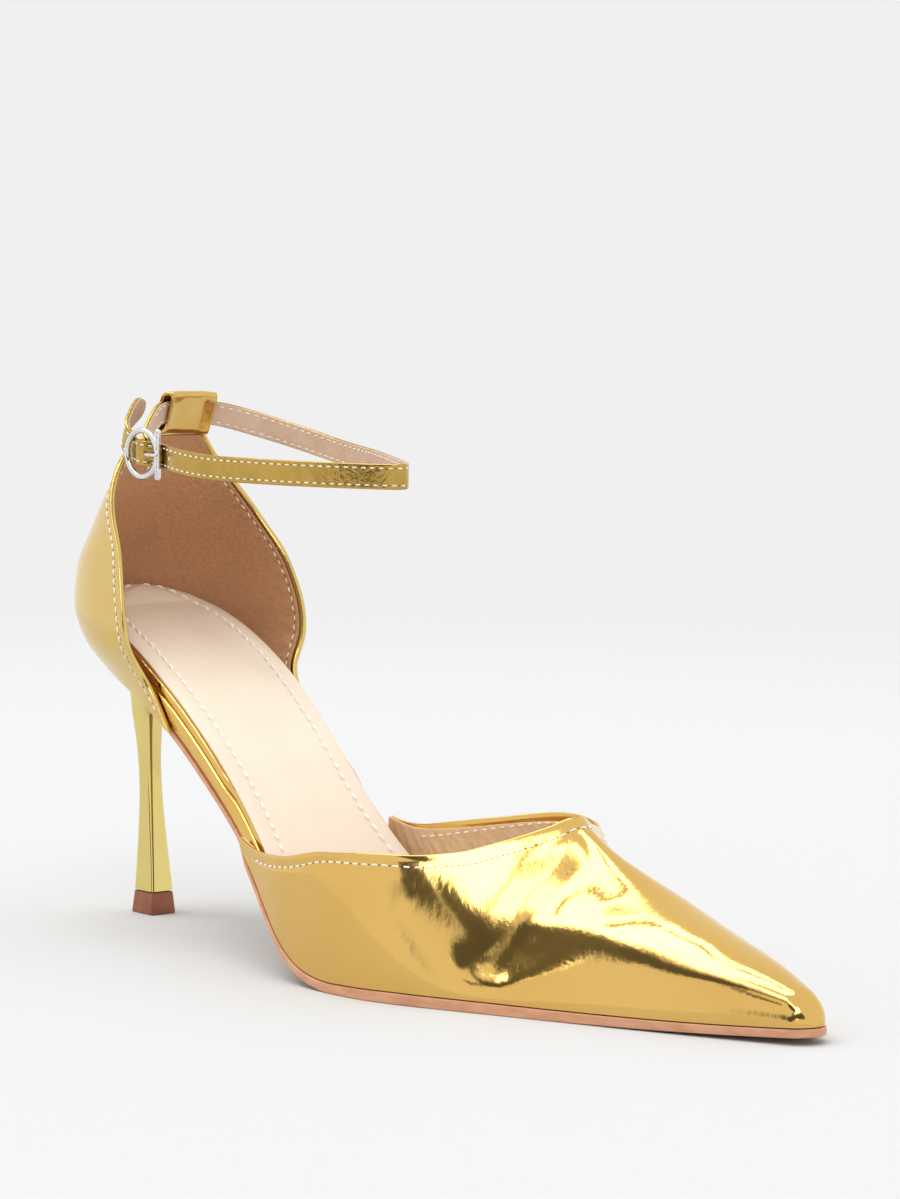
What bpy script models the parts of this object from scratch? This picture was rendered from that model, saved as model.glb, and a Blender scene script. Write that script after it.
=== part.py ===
"""Ankle strap pump for the right foot, in metres, standing on its heel tip and tread.

+X runs to the toe, +Y to the wearer's inner side, +Z up. The origin is the centre of the
heel tip's ground face. Every curved piece is a loft of sections read from a short table.
"""

import math

import bmesh
import bpy
import numpy as np

# Lengths that place the shoe's main points
TOE_REACH = 0.2308  # heel tip's centre to the toe tip
SEAT_BACK = 0.0133  # board's back end behind the heel tip's centre
SEAT_FRONT = 0.0345  # where the counter's lower edge ends
BREAST = 0.0220  # front of the heel's top
HEEL_HEIGHT = 0.0640  # floor to the underside of the sole above the heel tip
BALL_WIDTH = 0.0660
VAMP_HEIGHT = 0.0420  # floor to the throat
VAMP_BACK = 0.0735  # where the topline meets the sole, on both sides
THROAT = 0.1550  # the topline's foremost point
COUNTER_HEIGHT = 0.0543  # heel seat to the counter's top edge
TUCK_HEIGHT = 0.0140  # how high up the heel seat is drawn in towards its foot
TUCK_LENGTH = 0.0300  # how far ahead of the heel tip's centre that goes on
TUCK_SIDE = 0.27  # share of the width drawn in at the foot
TUCK_BACK = 0.08  # share of the length drawn in at the foot
CUP_DEPTH = 0.0498  # back of the cup to the front of its lower edge

# Thicknesses and clearances
GAP = 0.0003
SOLE_THICKNESS = 0.0024
WAIST_SOLE = 0.0012
BOARD_DEPTH = 0.0103
INSOLE_THICKNESS = 0.0012
VAMP_WALL = 0.0014
COUNTER_WALL = 0.0014
SOLE_EDGE = 0.0004  # how far the sole stands out past the upper
SOLE_ROUNDING = 0.0004
SOLE_BLEND = 0.0080  # length over which the sole widens to carry the vamp
BOARD_SUNK = 0.0009  # how far the board draws in under the vamp
BOARD_STEP = 0.0007  # width of the step between the board's layers, past the sock
BOARD_EASE = 0.0005  # its lower corner
SOCK_INSET = 0.0015
SOCK_SHORT = 0.0040  # how far it ends before the vamp's nose
SOCK_EASE = 0.0005
BACK_ROUNDING = 0.0080  # length round the seat's back where sections lie closer
VAMP_SWELL = 0.0015

# Heel
TIP_HEIGHT = 0.0055
TIP_LENGTH = 0.0090
TIP_WIDTH = 0.0075
TIP_TAPER = 0.87
TIP_EASE = 0.0003
HEEL_SLIM = 0.0050  # the column where it is slimmest

# Strap, loop and buckle
TAB_WIDTH = 0.0160
STRAP_WIDTH = 0.0060
STRAP_THICKNESS = 0.0012
STRAP_REACH = 0.0860  # loop to the strap's front bend
STRAP_SPREAD = 0.0234  # half the width across the strap
STRAP_DROP = 0.0103  # how much lower the strap lies in front than in its loop
LOOP_LENGTH = 0.0142
LOOP_HEIGHT = 0.0106
LOOP_LEAN = 0.38  # how far the loop and the strap in it lean forward, per unit of height
LOOP_WALL = 0.0011
LOOP_ROOM = 0.0005  # clearance round the strap inside the loop
STRAP_LIFT = 0.0006  # how much the strap climbs each part of its way through the buckle
STRAP_STEP = 0.0021  # between the band's sections
LOOP_STEP = 0.0003
BUCKLE_RADIUS = 0.0056
BUCKLE_WIRE = 0.0007  # radius of the wire
BAR_LENGTH = 0.0122
PRONG_WIRE = 0.00042
PRONG_ROOM = 0.0004

# The shoe's bottom, along it from the seat's back to the toe.
# along: share of the toe reach. under: sole's underside, share of heel height.
# sole: share of sole thickness. board: share of board depth.
# outer, inner: half widths of the board, share of ball width.
# inset_outer, inset_inner: how far the sock's edge lies inside the board's, share of its inset.
BOTTOM_COLUMNS = ("along", "under", "sole", "board", "outer", "inner", "inset_outer", "inset_inner")
BOTTOM = (
    (-0.062, 1.056, 0.50, 1.07, 0.326, 0.326, 0.80, 0.80),
    (0.000, 1.000, 0.50, 1.00, 0.330, 0.326, 0.80, 0.80),
    (0.065, 0.925, 0.50, 0.95, 0.324, 0.306, 0.80, 0.93),
    (0.138, 0.831, 0.50, 0.74, 0.332, 0.283, 0.87, 1.00),
    (0.229, 0.641, 0.50, 0.64, 0.361, 0.255, 1.13, 1.60),
    (0.320, 0.400, 0.54, 0.55, 0.398, 0.242, 1.07, 2.67),
    (0.363, 0.266, 0.60, 0.55, 0.433, 0.252, 1.07, 2.60),
    (0.410, 0.125, 0.67, 0.49, 0.476, 0.285, 1.07, 2.00),
    (0.449, 0.042, 0.79, 0.39, 0.497, 0.324, 1.00, 1.47),
    (0.488, 0.006, 0.88, 0.30, 0.505, 0.373, 1.00, 1.07),
    (0.553, 0.000, 1.00, 0.24, 0.494, 0.445, 1.00, 1.00),
    (0.639, 0.000, 1.04, 0.23, 0.400, 0.479, 1.00, 1.00),
    (0.734, 0.000, 1.00, 0.23, 0.264, 0.448, 1.00, 1.00),
    (0.821, 0.004, 0.92, 0.23, 0.142, 0.383, 1.00, 1.00),
    (0.916, 0.014, 0.83, 0.23, 0.003, 0.286, 1.00, 1.00),
    (1.000, 0.028, 0.79, 0.23, -0.129, 0.191, 1.00, 1.00),
)

# The last above the sole, along the vamp.
# along: share of the toe reach. ridge: height of the ridge, share of vamp height.
# side: the ridge's place across, share of ball width. fullness: of the section.
# bulge: how far the wall swells past its foot, share of the vamp's swell.
LAST_COLUMNS = ("along", "ridge", "side", "fullness", "bulge")
LAST = (
    (0.302, 2.10, 0.061, 0.050, 0.53),
    (0.432, 1.86, 0.076, 0.050, 0.80),
    (0.553, 1.50, 0.088, 0.030, 1.00),
    (0.626, 1.20, 0.097, -0.080, 1.00),
    (0.678, 0.945, 0.106, -0.170, 0.93),
    (0.726, 0.792, 0.118, -0.140, 0.87),
    (0.786, 0.662, 0.133, -0.075, 0.73),
    (0.864, 0.498, 0.148, -0.030, 0.60),
    (0.929, 0.381, 0.158, 0.000, 0.40),
    (1.000, 0.226, 0.162, 0.000, 0.20),
)
NOSE_LENGTH = 0.0035  # length of the toe's rounding, seen from above
NOSE_DEPTH = 0.0060  # the same, seen from the side

# The topline, from the back corner to the throat.
# along: share from the vamp's back to the throat.
# outer, inner: share of the half section from the sole up to the ridge.
TOPLINE_COLUMNS = ("along", "outer", "inner")
TOPLINE = (
    (0.000, 0.020, 0.030),
    (0.100, 0.062, 0.078),
    (0.200, 0.113, 0.137),
    (0.330, 0.172, 0.202),
    (0.450, 0.216, 0.245),
    (0.580, 0.256, 0.296),
    (0.700, 0.326, 0.366),
    (0.770, 0.392, 0.430),
    (0.820, 0.460, 0.495),
    (0.860, 0.528, 0.560),
    (0.890, 0.594, 0.622),
    (0.920, 0.663, 0.685),
    (0.955, 0.755, 0.768),
    (0.982, 0.865, 0.872),
    (1.000, 1.000, 1.000),
)

# The heel cup, from its foot to the tab.
# height: share of the counter's height above the seat.
# back: forward lean of the back, share of the cup's depth.
# front: the front edge's place, share of the cup's depth.
# outer, inner: spread of the front edge from the tab's half width (0) to the foot's (1).
# turn: how far round the section goes, in degrees. fullness: of the section.
CUP_COLUMNS = ("height", "back", "front", "outer", "inner", "turn", "fullness")
CUP = (
    (-0.20, 0.000, 1.000, 1.00, 1.00, 90, 0.045),
    (-0.09, 0.000, 0.905, 1.10, 1.12, 90, 0.042),
    (0.02, 0.000, 0.850, 1.22, 1.34, 90, 0.030),
    (0.13, 0.000, 0.834, 1.32, 1.47, 90, 0.020),
    (0.24, 0.000, 0.804, 1.32, 1.50, 90, 0.020),
    (0.35, 0.004, 0.757, 1.25, 1.46, 90, 0.020),
    (0.46, 0.034, 0.697, 1.14, 1.36, 89, 0.020),
    (0.55, 0.092, 0.625, 1.02, 1.24, 86, 0.020),
    (0.64, 0.160, 0.554, 0.93, 1.10, 79, 0.020),
    (0.73, 0.236, 0.500, 0.83, 0.90, 68, 0.020),
    (0.83, 0.314, 0.462, 0.66, 0.60, 55, 0.020),
    (0.92, 0.387, 0.456, 0.45, 0.32, 38, 0.020),
    (1.00, 0.466, 0.490, 0.14, 0.00, 22, 0.020),
)

# The heel's column, from its tip up.
# height: share of the height of its neck. middle: its middle, share of the slim width.
# length, width: share of the slim width. square: exponent of the rounded square.
COLUMN_COLUMNS = ("height", "middle", "length", "width", "square")
COLUMN = (
    (0.00, 0.00, 1.56, 1.36, 8.0),
    (0.12, -0.04, 1.42, 1.24, 7.0),
    (0.35, -0.14, 1.14, 1.05, 5.0),
    (0.62, -0.28, 1.00, 0.92, 3.6),
    (0.82, -0.40, 1.16, 1.06, 3.0),
    (1.00, -0.52, 1.52, 1.40, 2.6),
)
NECK_HEIGHT = 0.78  # top of the plain column, share of heel height

# How the heel's top widens from the neck to the seat: share of the way up, share outward
FLARE = ((0.30, 0.07), (0.55, 0.20), (0.76, 0.42), (0.91, 0.70), (1.00, 1.00))

# The strap's route from its fold at the buckle round to its free tip.
# ahead: share of the strap's reach. across: share of its spread. drop: share of its drop.
ROUTE_COLUMNS = ("ahead", "across", "drop")
ROUTE_BACK = (
    (0.090, -0.715, 0.74),
    (0.056, -0.590, 0.38),
    (0.024, -0.370, 0.00),
    (0.004, -0.165, -0.02),
    (0.000, 0.000, 0.00),
    (0.004, 0.165, 0.01),
    (0.027, 0.385, 0.07),
    (0.098, 0.700, 0.31),
    (0.215, 0.905, 0.58),
    (0.385, 1.000, 0.86),
    (0.560, 0.880, 0.96),
    (0.740, 0.610, 1.00),
    (0.890, 0.320, 1.00),
    (0.970, 0.140, 1.00),
    (1.000, 0.000, 1.00),
    (0.970, -0.140, 1.00),
    (0.890, -0.330, 1.00),
    (0.740, -0.605, 1.00),
    (0.560, -0.800, 1.00),
    (0.400, -0.880, 0.98),
)
ROUTE_TIP = (
    (0.040, -0.840, 0.50),
    (0.006, -0.740, 0.22),
    (-0.022, -0.550, -0.08),
    (-0.034, -0.430, -0.25),
)
# The buckle's middle in the same shares, and the turn of its plane
BUCKLE_PLACE = (0.137, -0.897, 0.83)
BUCKLE_TURN = math.radians(4)

collection = bpy.data.collections.new("ankle_strap_pump")
cutters = bpy.data.collections.new("cutters")


def clear_scene():
    for old in list(bpy.data.objects):
        bpy.data.objects.remove(old)
    bpy.context.scene.collection.children.link(collection)
    bpy.context.scene.collection.children.link(cutters)


def material(name, colour, roughness, metallic=0.0):
    made = bpy.data.materials.new(name)
    made.use_nodes = True
    shader = made.node_tree.nodes["Principled BSDF"]
    shader.inputs["Base Color"].default_value = (*colour, 1.0)
    shader.inputs["Roughness"].default_value = roughness
    shader.inputs["Metallic"].default_value = metallic
    made.diffuse_color = (*colour, 1.0)
    return made


def smooth(knots, values):
    """The natural cubic through the knots, as a function of arrays."""
    knots = np.asarray(knots, float)
    values = np.asarray(values, float)
    steps = np.diff(knots)
    size = len(knots)
    rows = np.eye(size)
    right = np.zeros(size)
    for i in range(1, size - 1):
        rows[i, i - 1 : i + 2] = steps[i - 1], 2 * (steps[i - 1] + steps[i]), steps[i]
        slope = (values[i + 1] - values[i]) / steps[i]
        right[i] = 6 * (slope - (values[i] - values[i - 1]) / steps[i - 1])
    bend = np.linalg.solve(rows, right)

    def at(x):
        x = np.asarray(x, float)
        i = np.clip(np.searchsorted(knots, x) - 1, 0, size - 2)
        h = steps[i]
        a = (knots[i + 1] - x) / h
        b = (x - knots[i]) / h
        cubic = ((a**3 - a) * bend[i] + (b**3 - b) * bend[i + 1]) * h * h / 6
        return a * values[i] + b * values[i + 1] + cubic

    return at


def curves(table, columns, scales):
    """One smooth function for each column of a table, along its scaled first column."""
    data = np.array(table, float)
    along = data[:, 0] * scales[columns[0]]
    return {
        name: smooth(along, data[:, i] * scales[name])
        for i, name in enumerate(columns)
        if i > 0
    }


bottom = curves(
    BOTTOM,
    BOTTOM_COLUMNS,
    {
        "along": TOE_REACH,
        "under": HEEL_HEIGHT,
        "sole": SOLE_THICKNESS,
        "board": BOARD_DEPTH,
        "outer": BALL_WIDTH,
        "inner": BALL_WIDTH,
        "inset_outer": SOCK_INSET,
        "inset_inner": SOCK_INSET,
    },
)
last = curves(
    LAST,
    LAST_COLUMNS,
    {
        "along": TOE_REACH,
        "ridge": VAMP_HEIGHT,
        "side": BALL_WIDTH,
        "fullness": 1.0,
        "bulge": VAMP_SWELL,
    },
)
topline = curves(
    TOPLINE,
    TOPLINE_COLUMNS,
    {"along": THROAT - VAMP_BACK, "outer": math.pi / 2, "inner": math.pi / 2},
)
cup = curves(
    CUP,
    CUP_COLUMNS,
    {
        "height": COUNTER_HEIGHT,
        "back": CUP_DEPTH,
        "front": CUP_DEPTH,
        "outer": 1.0,
        "inner": 1.0,
        "turn": math.pi / 180,
        "fullness": 1.0,
    },
)


def underside(x):
    """Height of the sole's underside, flat on the floor under the ball."""
    height = bottom["under"](x)
    return np.where(height < 0.00004, 0.0, height)


def feather(x):
    """Height of the sole's top, where the upper's edge lies."""
    return underside(x) + np.maximum(bottom["sole"](x), WAIST_SOLE)


def swing(angle, fullness):
    """Cosine and sine with a third harmonic, which squares or sharpens a round section."""
    along = (np.cos(angle) - fullness * np.cos(3 * angle)) / (1 - fullness)
    across = (np.sin(angle) + fullness * np.sin(3 * angle)) / (1 - fullness)
    return along, across


SEAT_FULLNESS = CUP[0][6]
seat_turn = np.linspace(0, math.pi / 2, 400)
seat_cos, seat_sin = swing(seat_turn, SEAT_FULLNESS)


def seat_round(x, grow):
    """Share of the full width at x, as the seat's back rounds it off."""
    share = (x + SEAT_BACK + grow) / (SEAT_FRONT + SEAT_BACK + grow)
    return np.interp(np.clip(share, 0, 1), 1 - seat_cos, seat_sin)


def toe_round(x, length, beyond=0.0):
    """The same at the toe: 1 behind the nose, 0 at its tip, on an ellipse."""
    length = np.maximum(length, NOSE_LENGTH / 3)
    share = np.clip((x - (TOE_REACH + beyond - length)) / length, 0, 1)
    return np.sqrt(1 - share * share)


def edge(x, side, grow=0.0):
    """Where the board's edge, grown outward, lies across at x. side is -1 outer, +1 inner."""
    half = bottom["outer" if side < 0 else "inner"](x) + grow
    other = bottom["inner" if side < 0 else "outer"](x) + grow
    middle = (half - other) / 2
    beyond = grow - VAMP_WALL - GAP
    reach = middle + (half - middle) * toe_round(x, NOSE_LENGTH + beyond, beyond)
    return side * reach * seat_round(x, grow)


def stations(start, end, count, nose=0.0, heel=0.0):
    """Places along the shoe, even between the roundings and by angle round them."""
    places = np.linspace(start + heel, end - nose, count)
    turn = np.radians((20, 38, 54, 67, 77, 84))
    if nose:
        places = np.concatenate([places, end - nose + nose * np.sin(turn)])
    if heel:
        places = np.concatenate([(start + heel - heel * np.sin(turn))[::-1], places])
    return places


def tuck(x, y, rise):
    """Draws the heel seat in towards its foot; rise is the height above the sole."""
    share = np.clip(1 - rise / TUCK_HEIGHT, 0, 1) ** 2 * np.clip(1 - x / TUCK_LENGTH, 0, 1)
    middle = TUCK_LENGTH / 3
    return x - (x - middle) * TUCK_BACK * share, y * (1 - TUCK_SIDE * share)


def mesh_object(name, points, faces, finish, smoothly=True):
    mesh = bpy.data.meshes.new(name)
    mesh.from_pydata([tuple(p) for p in points], [], faces)
    shape = bmesh.new()
    shape.from_mesh(mesh)
    bmesh.ops.remove_doubles(shape, verts=shape.verts, dist=1e-6)
    bmesh.ops.dissolve_degenerate(shape, edges=shape.edges, dist=1e-6)
    bmesh.ops.recalc_face_normals(shape, faces=shape.faces)
    shape.to_mesh(mesh)
    shape.free()
    if smoothly:
        mesh.shade_smooth()
        mesh.set_sharp_from_angle(angle=math.radians(40))
    made = bpy.data.objects.new(name, mesh)
    made.data.materials.append(finish)
    collection.objects.link(made)
    return made


def loft(rings):
    """Points and faces of a closed solid through rings of equal count, capped at both ends."""
    rings = np.asarray(rings)
    count = rings.shape[1]
    faces = []
    for i in range(len(rings) - 1):
        for j in range(count):
            k = (j + 1) % count
            faces.append((i * count + j, i * count + k, (i + 1) * count + k, (i + 1) * count + j))
    faces.append(tuple(range(count)))
    faces.append(tuple(len(rings) * count - 1 - j for j in range(count)))
    return rings.reshape(-1, 3), faces


def wall(outside, inside, closed_across=False):
    """Points and faces of a wall between two grids of equal size, closed round its rim."""
    rows, cols = outside.shape[:2]
    points = np.concatenate([outside.reshape(-1, 3), inside.reshape(-1, 3)])
    shift = rows * cols
    faces = []
    for i in range(rows - 1):
        for j in range(cols - (0 if closed_across else 1)):
            k = (j + 1) % cols
            a, b, c, d = i * cols + j, i * cols + k, (i + 1) * cols + k, (i + 1) * cols + j
            faces.append((a, b, c, d))
            faces.append((shift + d, shift + c, shift + b, shift + a))
    rim = [[j for j in range(cols)], [(rows - 1) * cols + j for j in range(cols)]]
    if closed_across:
        rim[0].append(0)
        rim[1].append((rows - 1) * cols)
    else:
        rim.append([i * cols for i in range(rows)])
        rim.append([i * cols + cols - 1 for i in range(rows)])
    for line in rim:
        for a, b in zip(line, line[1:]):
            faces.append((a, b, shift + b, shift + a))
    return points, faces


def slab(x, profile):
    """Rings across the shoe at each x, from a profile of (side, grow, height) at arrays x."""
    rings = []
    for side, grow, height in profile:
        place = np.where(x < 0, x * (SEAT_BACK + grow) / SEAT_BACK, x)
        ahead, across = tuck(place, edge(place, side, grow), height - feather(x))
        rings.append(np.stack([ahead, across, height], 1))
    return np.stack(rings, 1)


def make_outsole(finish):
    """A thin sole from the heel's breast to the toe, its lower edge a little rounded."""
    x = stations(BREAST + GAP, TOE_REACH + SOLE_EDGE, 50, nose=NOSE_LENGTH)
    low = underside(x)
    high = feather(x)
    covered = np.clip((x - VAMP_BACK) / SOLE_BLEND + 0.5, 0, 1)
    full = SOLE_EDGE + (VAMP_WALL + GAP) * covered * covered * (3 - 2 * covered)
    rise = low + SOLE_ROUNDING
    profile = []
    for side in (-1, 1):
        half = [
            (side, full - SOLE_ROUNDING * 1.5, low),
            (side, full, rise),
            (side, full, high - SOLE_ROUNDING / 2),
            (side, full - SOLE_ROUNDING, high),
        ]
        profile += half if side < 0 else half[::-1]
    return mesh_object("outsole", *loft(slab(x, profile)), finish)


def make_board(finish):
    """The wrapped board, with a lower and an upper layer that shows as a step at the waist."""
    x = stations(-SEAT_BACK, TOE_REACH - NOSE_LENGTH - VAMP_WALL - GAP, 48, heel=BACK_ROUNDING)
    low = feather(x) + GAP
    depth = bottom["board"](x)
    sunk = np.where(x > VAMP_BACK - SOLE_BLEND, BOARD_SUNK, 0.0)
    profile = []
    for side in (-1, 1):
        inset = bottom["inset_outer" if side < 0 else "inset_inner"](x)
        ledge = -(inset - BOARD_STEP)
        half = [
            (side, -BOARD_EASE, low),
            (side, 0.0, low + 0.08 * depth),
            (side, 0.0, low + 0.28 * depth),
            (side, -sunk / 2, low + 0.55 * depth),
            (side, ledge * 0.55 - sunk, low + 0.66 * depth),
            (side, ledge - sunk, low + 0.74 * depth),
            (side, ledge - sunk - BOARD_EASE / 5, low + 0.98 * depth),
        ]
        profile += half if side < 0 else half[::-1]
    return mesh_object("insole_board", *loft(slab(x, profile)), finish)


def make_insole(finish):
    """The sock on top of the board, from the cup's back into the toe."""
    x = stations(-SEAT_BACK, TOE_REACH - NOSE_LENGTH - SOCK_SHORT, 46, heel=BACK_ROUNDING)
    low = feather(x) + GAP + bottom["board"](x)
    high = low + INSOLE_THICKNESS
    profile = []
    for side in (-1, 1):
        inset = -bottom["inset_outer" if side < 0 else "inset_inner"](x)
        half = [
            (side, inset - SOCK_EASE / 5, low + SOCK_EASE / 5),
            (side, inset, low + 0.5 * INSOLE_THICKNESS),
            (side, inset - SOCK_EASE, high),
        ]
        profile += half if side < 0 else half[::-1]
    return mesh_object("insole", *loft(slab(x, profile)), finish)


def last_point(x, angle):
    """The vamp's outside at x, at an angle from 0 (outer foot) over the ridge to pi (inner foot)."""
    x, angle = np.broadcast_arrays(np.asarray(x, float), np.asarray(angle, float))
    grow = VAMP_WALL + GAP
    outer = bottom["outer"](x) + grow
    inner = bottom["inner"](x) + grow
    middle = (inner - outer) / 2
    half = (inner + outer) / 2 * toe_round(x, NOSE_LENGTH)
    foot = feather(x) + GAP
    rise = (last["ridge"](x) - foot) * toe_round(x, NOSE_DEPTH)
    along, up = swing(angle, last["fullness"](x))
    lean = (last["side"](x) - middle) * np.sin(angle) ** 2
    bulge = last["bulge"](x) * toe_round(x, NOSE_LENGTH) * np.sin(2 * angle)
    return np.stack([x, middle - half * along + lean - bulge, foot + rise * up], -1)


def normals(surface, first, second, step=(1e-5, 1e-4)):
    """Unit normals of a surface of two parameters, by small steps each way."""
    one = surface(first + step[0], second) - surface(first - step[0], second)
    two = surface(first, second + step[1]) - surface(first, second - step[1])
    cross = np.cross(one, two)
    return cross / np.maximum(np.linalg.norm(cross, axis=-1, keepdims=True), 1e-12)


def make_vamp(finish):
    """The front of the upper: two halves that join along the ridge ahead of the throat."""
    behind = VAMP_BACK + (THROAT - VAMP_BACK) * (1 - (1 - np.linspace(0, 1, 17)) ** 1.8)
    ahead = stations(THROAT, TOE_REACH, 17, nose=NOSE_DEPTH)[1:]
    x = np.concatenate([behind, ahead])
    share = np.linspace(0, 1, 11)
    top_share = np.minimum(x, THROAT) - VAMP_BACK
    halves = []
    for side in (-1, 1):
        top = topline["outer" if side < 0 else "inner"](top_share)
        top = np.where(x >= THROAT, math.pi / 2, top)
        angle = top[:, None] * share[None]
        if side > 0:
            angle = math.pi - angle
        xs = np.broadcast_to(x[:, None], angle.shape)
        outside = last_point(xs, angle)
        nudged = np.minimum(xs, TOE_REACH - NOSE_LENGTH / 3)
        inward = normals(last_point, nudged, angle)
        inside = outside - inward * VAMP_WALL
        floor = outside[:, :1, 2]
        inside[..., 2] = np.maximum(inside[..., 2], floor)
        inside[:, 0, 2] = outside[:, 0, 2]
        halves.append((outside, inside))
    points = []
    faces = []
    for outside, inside in halves:
        rows, cols = outside.shape[:2]
        start = sum(len(p) for p in points)
        points += [outside.reshape(-1, 3), inside.reshape(-1, 3)]
        shift = rows * cols
        for i in range(rows - 1):
            for j in range(cols - 1):
                quad = (i * cols + j, i * cols + j + 1, (i + 1) * cols + j + 1, (i + 1) * cols + j)
                faces.append(tuple(start + q for q in quad))
                faces.append(tuple(start + shift + q for q in quad[::-1]))
        rims = [[j for j in range(cols)], [i * cols for i in range(rows)]]
        rims.append([i * cols + cols - 1 for i in range(len(behind))])
        rims.append([(rows - 1) * cols + j for j in range(cols)])
        for line in rims:
            for a, b in zip(line, line[1:]):
                faces.append((start + a, start + b, start + shift + b, start + shift + a))
    return mesh_object("upper_vamp", np.concatenate(points), faces, finish)


def cup_point(across, height):
    """The surface the counter is wrapped on. across runs from -1, the outer front edge, round
    the back to +1; height is taken from the seat."""
    across, height = np.broadcast_arrays(np.asarray(across, float), np.asarray(height, float))
    share = np.abs(across)
    back = cup["back"](height) - SEAT_BACK
    front = cup["front"](height) - SEAT_BACK
    turn = cup["turn"](height)
    fullness = cup["fullness"](height)
    cos_end, sin_end = swing(turn, fullness)
    cos_now, sin_now = swing(turn * share, fullness)
    ahead = (1 - cos_now) / (1 - cos_end)
    x = back + (front - back) * ahead
    tab = TAB_WIDTH / 2 - COUNTER_WALL
    foot_outer = bottom["outer"](SEAT_FRONT)
    foot_inner = bottom["inner"](SEAT_FRONT)
    half_outer = tab + (foot_outer - tab) * cup["outer"](height)
    half_inner = tab + (foot_inner - tab) * cup["inner"](height)
    round_part = np.where(across < 0, half_outer, half_inner) * sin_now / sin_end
    seat_part = np.where(across < 0, -edge(x, -1), edge(x, 1))
    low = CUP[0][0] * COUNTER_HEIGHT
    blend = np.clip((height - low) / (-1.6 * low), 0, 1)
    blend = blend * blend * (3 - 2 * blend)
    y = np.sign(across) * (seat_part + (round_part - seat_part) * blend)
    z = HEEL_HEIGHT + WAIST_SOLE + height
    x, y = tuck(x, y, z - feather(x))
    return np.stack([x, y, z], -1)


def cup_grid(rows, cols):
    """The parameters of the counter's grid: its foot follows the sole's top."""
    across = np.linspace(-1, 1, cols)
    seat = HEEL_HEIGHT + WAIST_SOLE
    foot = np.zeros(cols)
    for _ in range(40):
        foot = feather(cup_point(across, foot)[:, 0]) + GAP - seat
    up = np.linspace(0, 1, rows)[:, None]
    height = foot[None] + (COUNTER_HEIGHT - foot[None]) * up
    return np.broadcast_to(across[None], height.shape), height


def make_counter(finish):
    """The back of the upper: a tall cup, open in front, that narrows to a tab at its top."""
    across, height = cup_grid(21, 37)
    core = cup_point(across, height)
    outward = -normals(cup_point, across, height, (1e-3, 1e-5))
    inside = core + outward * GAP
    outside = core + outward * (GAP + COUNTER_WALL)
    for skin in (inside, outside):
        skin[0, :, 2] = feather(skin[0, :, 0]) + GAP
        skin[-1, :, 2] = core[-1, :, 2]
    return mesh_object("upper_counter", *wall(outside, inside), finish)


def make_heel(finish):
    """A slim column of rounded squares that widens in a trumpet to the seat's outline."""
    count_side = 11
    count_front = 4
    column = curves(
        COLUMN,
        COLUMN_COLUMNS,
        {
            "height": 1.0,
            "middle": HEEL_SLIM,
            "length": HEEL_SLIM / 2,
            "width": HEEL_SLIM / 2,
            "square": 1.0,
        },
    )
    grow = GAP + COUNTER_WALL - SOLE_EDGE
    back = -(SEAT_BACK + grow)
    ahead = (BREAST - back) / (SEAT_FRONT - back)
    last_turn = np.interp(ahead, 1 - seat_cos, seat_turn)
    side_turn = np.linspace(last_turn, 0, count_side)
    side_x = back + (SEAT_FRONT - back) * (1 - swing(side_turn, SEAT_FULLNESS)[0])
    x = np.concatenate([side_x, side_x[-2::-1], np.full(count_front, BREAST)])
    outer_y = edge(side_x, -1, grow)
    inner_y = edge(side_x, 1, grow)[-2::-1]
    front_y = np.linspace(inner_y[-1], outer_y[0], count_front + 2)[1:-1]
    y = np.concatenate([outer_y, inner_y, front_y])
    x, y = tuck(x, y, 0.0)
    top = np.stack([x, y, feather(x)], 1)
    corner = math.radians(50)
    angle = np.concatenate(
        [
            np.linspace(-corner, -math.pi, count_side),
            np.linspace(math.pi, corner, count_side)[1:],
            np.linspace(corner, -corner, count_front + 2)[1:-1],
        ]
    )

    def section(share):
        """A rounded square at a share of the neck's height."""
        exponent = 2 / column["square"](share)
        cos, sin = np.cos(angle), np.sin(angle)
        sx = column["middle"](share) + column["length"](share) * np.sign(cos) * np.abs(cos) ** exponent
        sy = column["width"](share) * np.sign(sin) * np.abs(sin) ** exponent
        start = TIP_HEIGHT + GAP
        z = start + (NECK_HEIGHT * HEEL_HEIGHT - start) * share
        return np.stack([sx, sy, np.full(len(angle), z)], 1)

    rings = [section(share) for share in np.linspace(0, 1, 13)]
    neck = rings[-1]
    for up, out in FLARE:
        ring = neck + (top - neck) * out
        ring[:, 2] = neck[:, 2] + (top[:, 2] - neck[:, 2]) * up
        rings.append(ring)
    return mesh_object("heel", *loft(rings), finish)


def make_heel_tip(finish):
    """The top piece under the heel: a block that widens to the floor, with eased edges."""
    bpy.ops.mesh.primitive_cube_add(size=1, location=(0, 0, TIP_HEIGHT / 2))
    made = bpy.context.object
    made.name = "heel_tip"
    made.data.name = "heel_tip"
    for vertex in made.data.vertices:
        taper = TIP_TAPER if vertex.co.z > 0 else 1.0
        vertex.co.x *= TIP_LENGTH * taper
        vertex.co.y *= TIP_WIDTH * taper
        vertex.co.z *= TIP_HEIGHT
    bevel = made.modifiers.new("eased", "BEVEL")
    bevel.width = TIP_EASE
    bevel.segments = 2
    made.data.materials.append(finish)
    for other in list(made.users_collection):
        other.objects.unlink(made)
    collection.objects.link(made)
    return made


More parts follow.
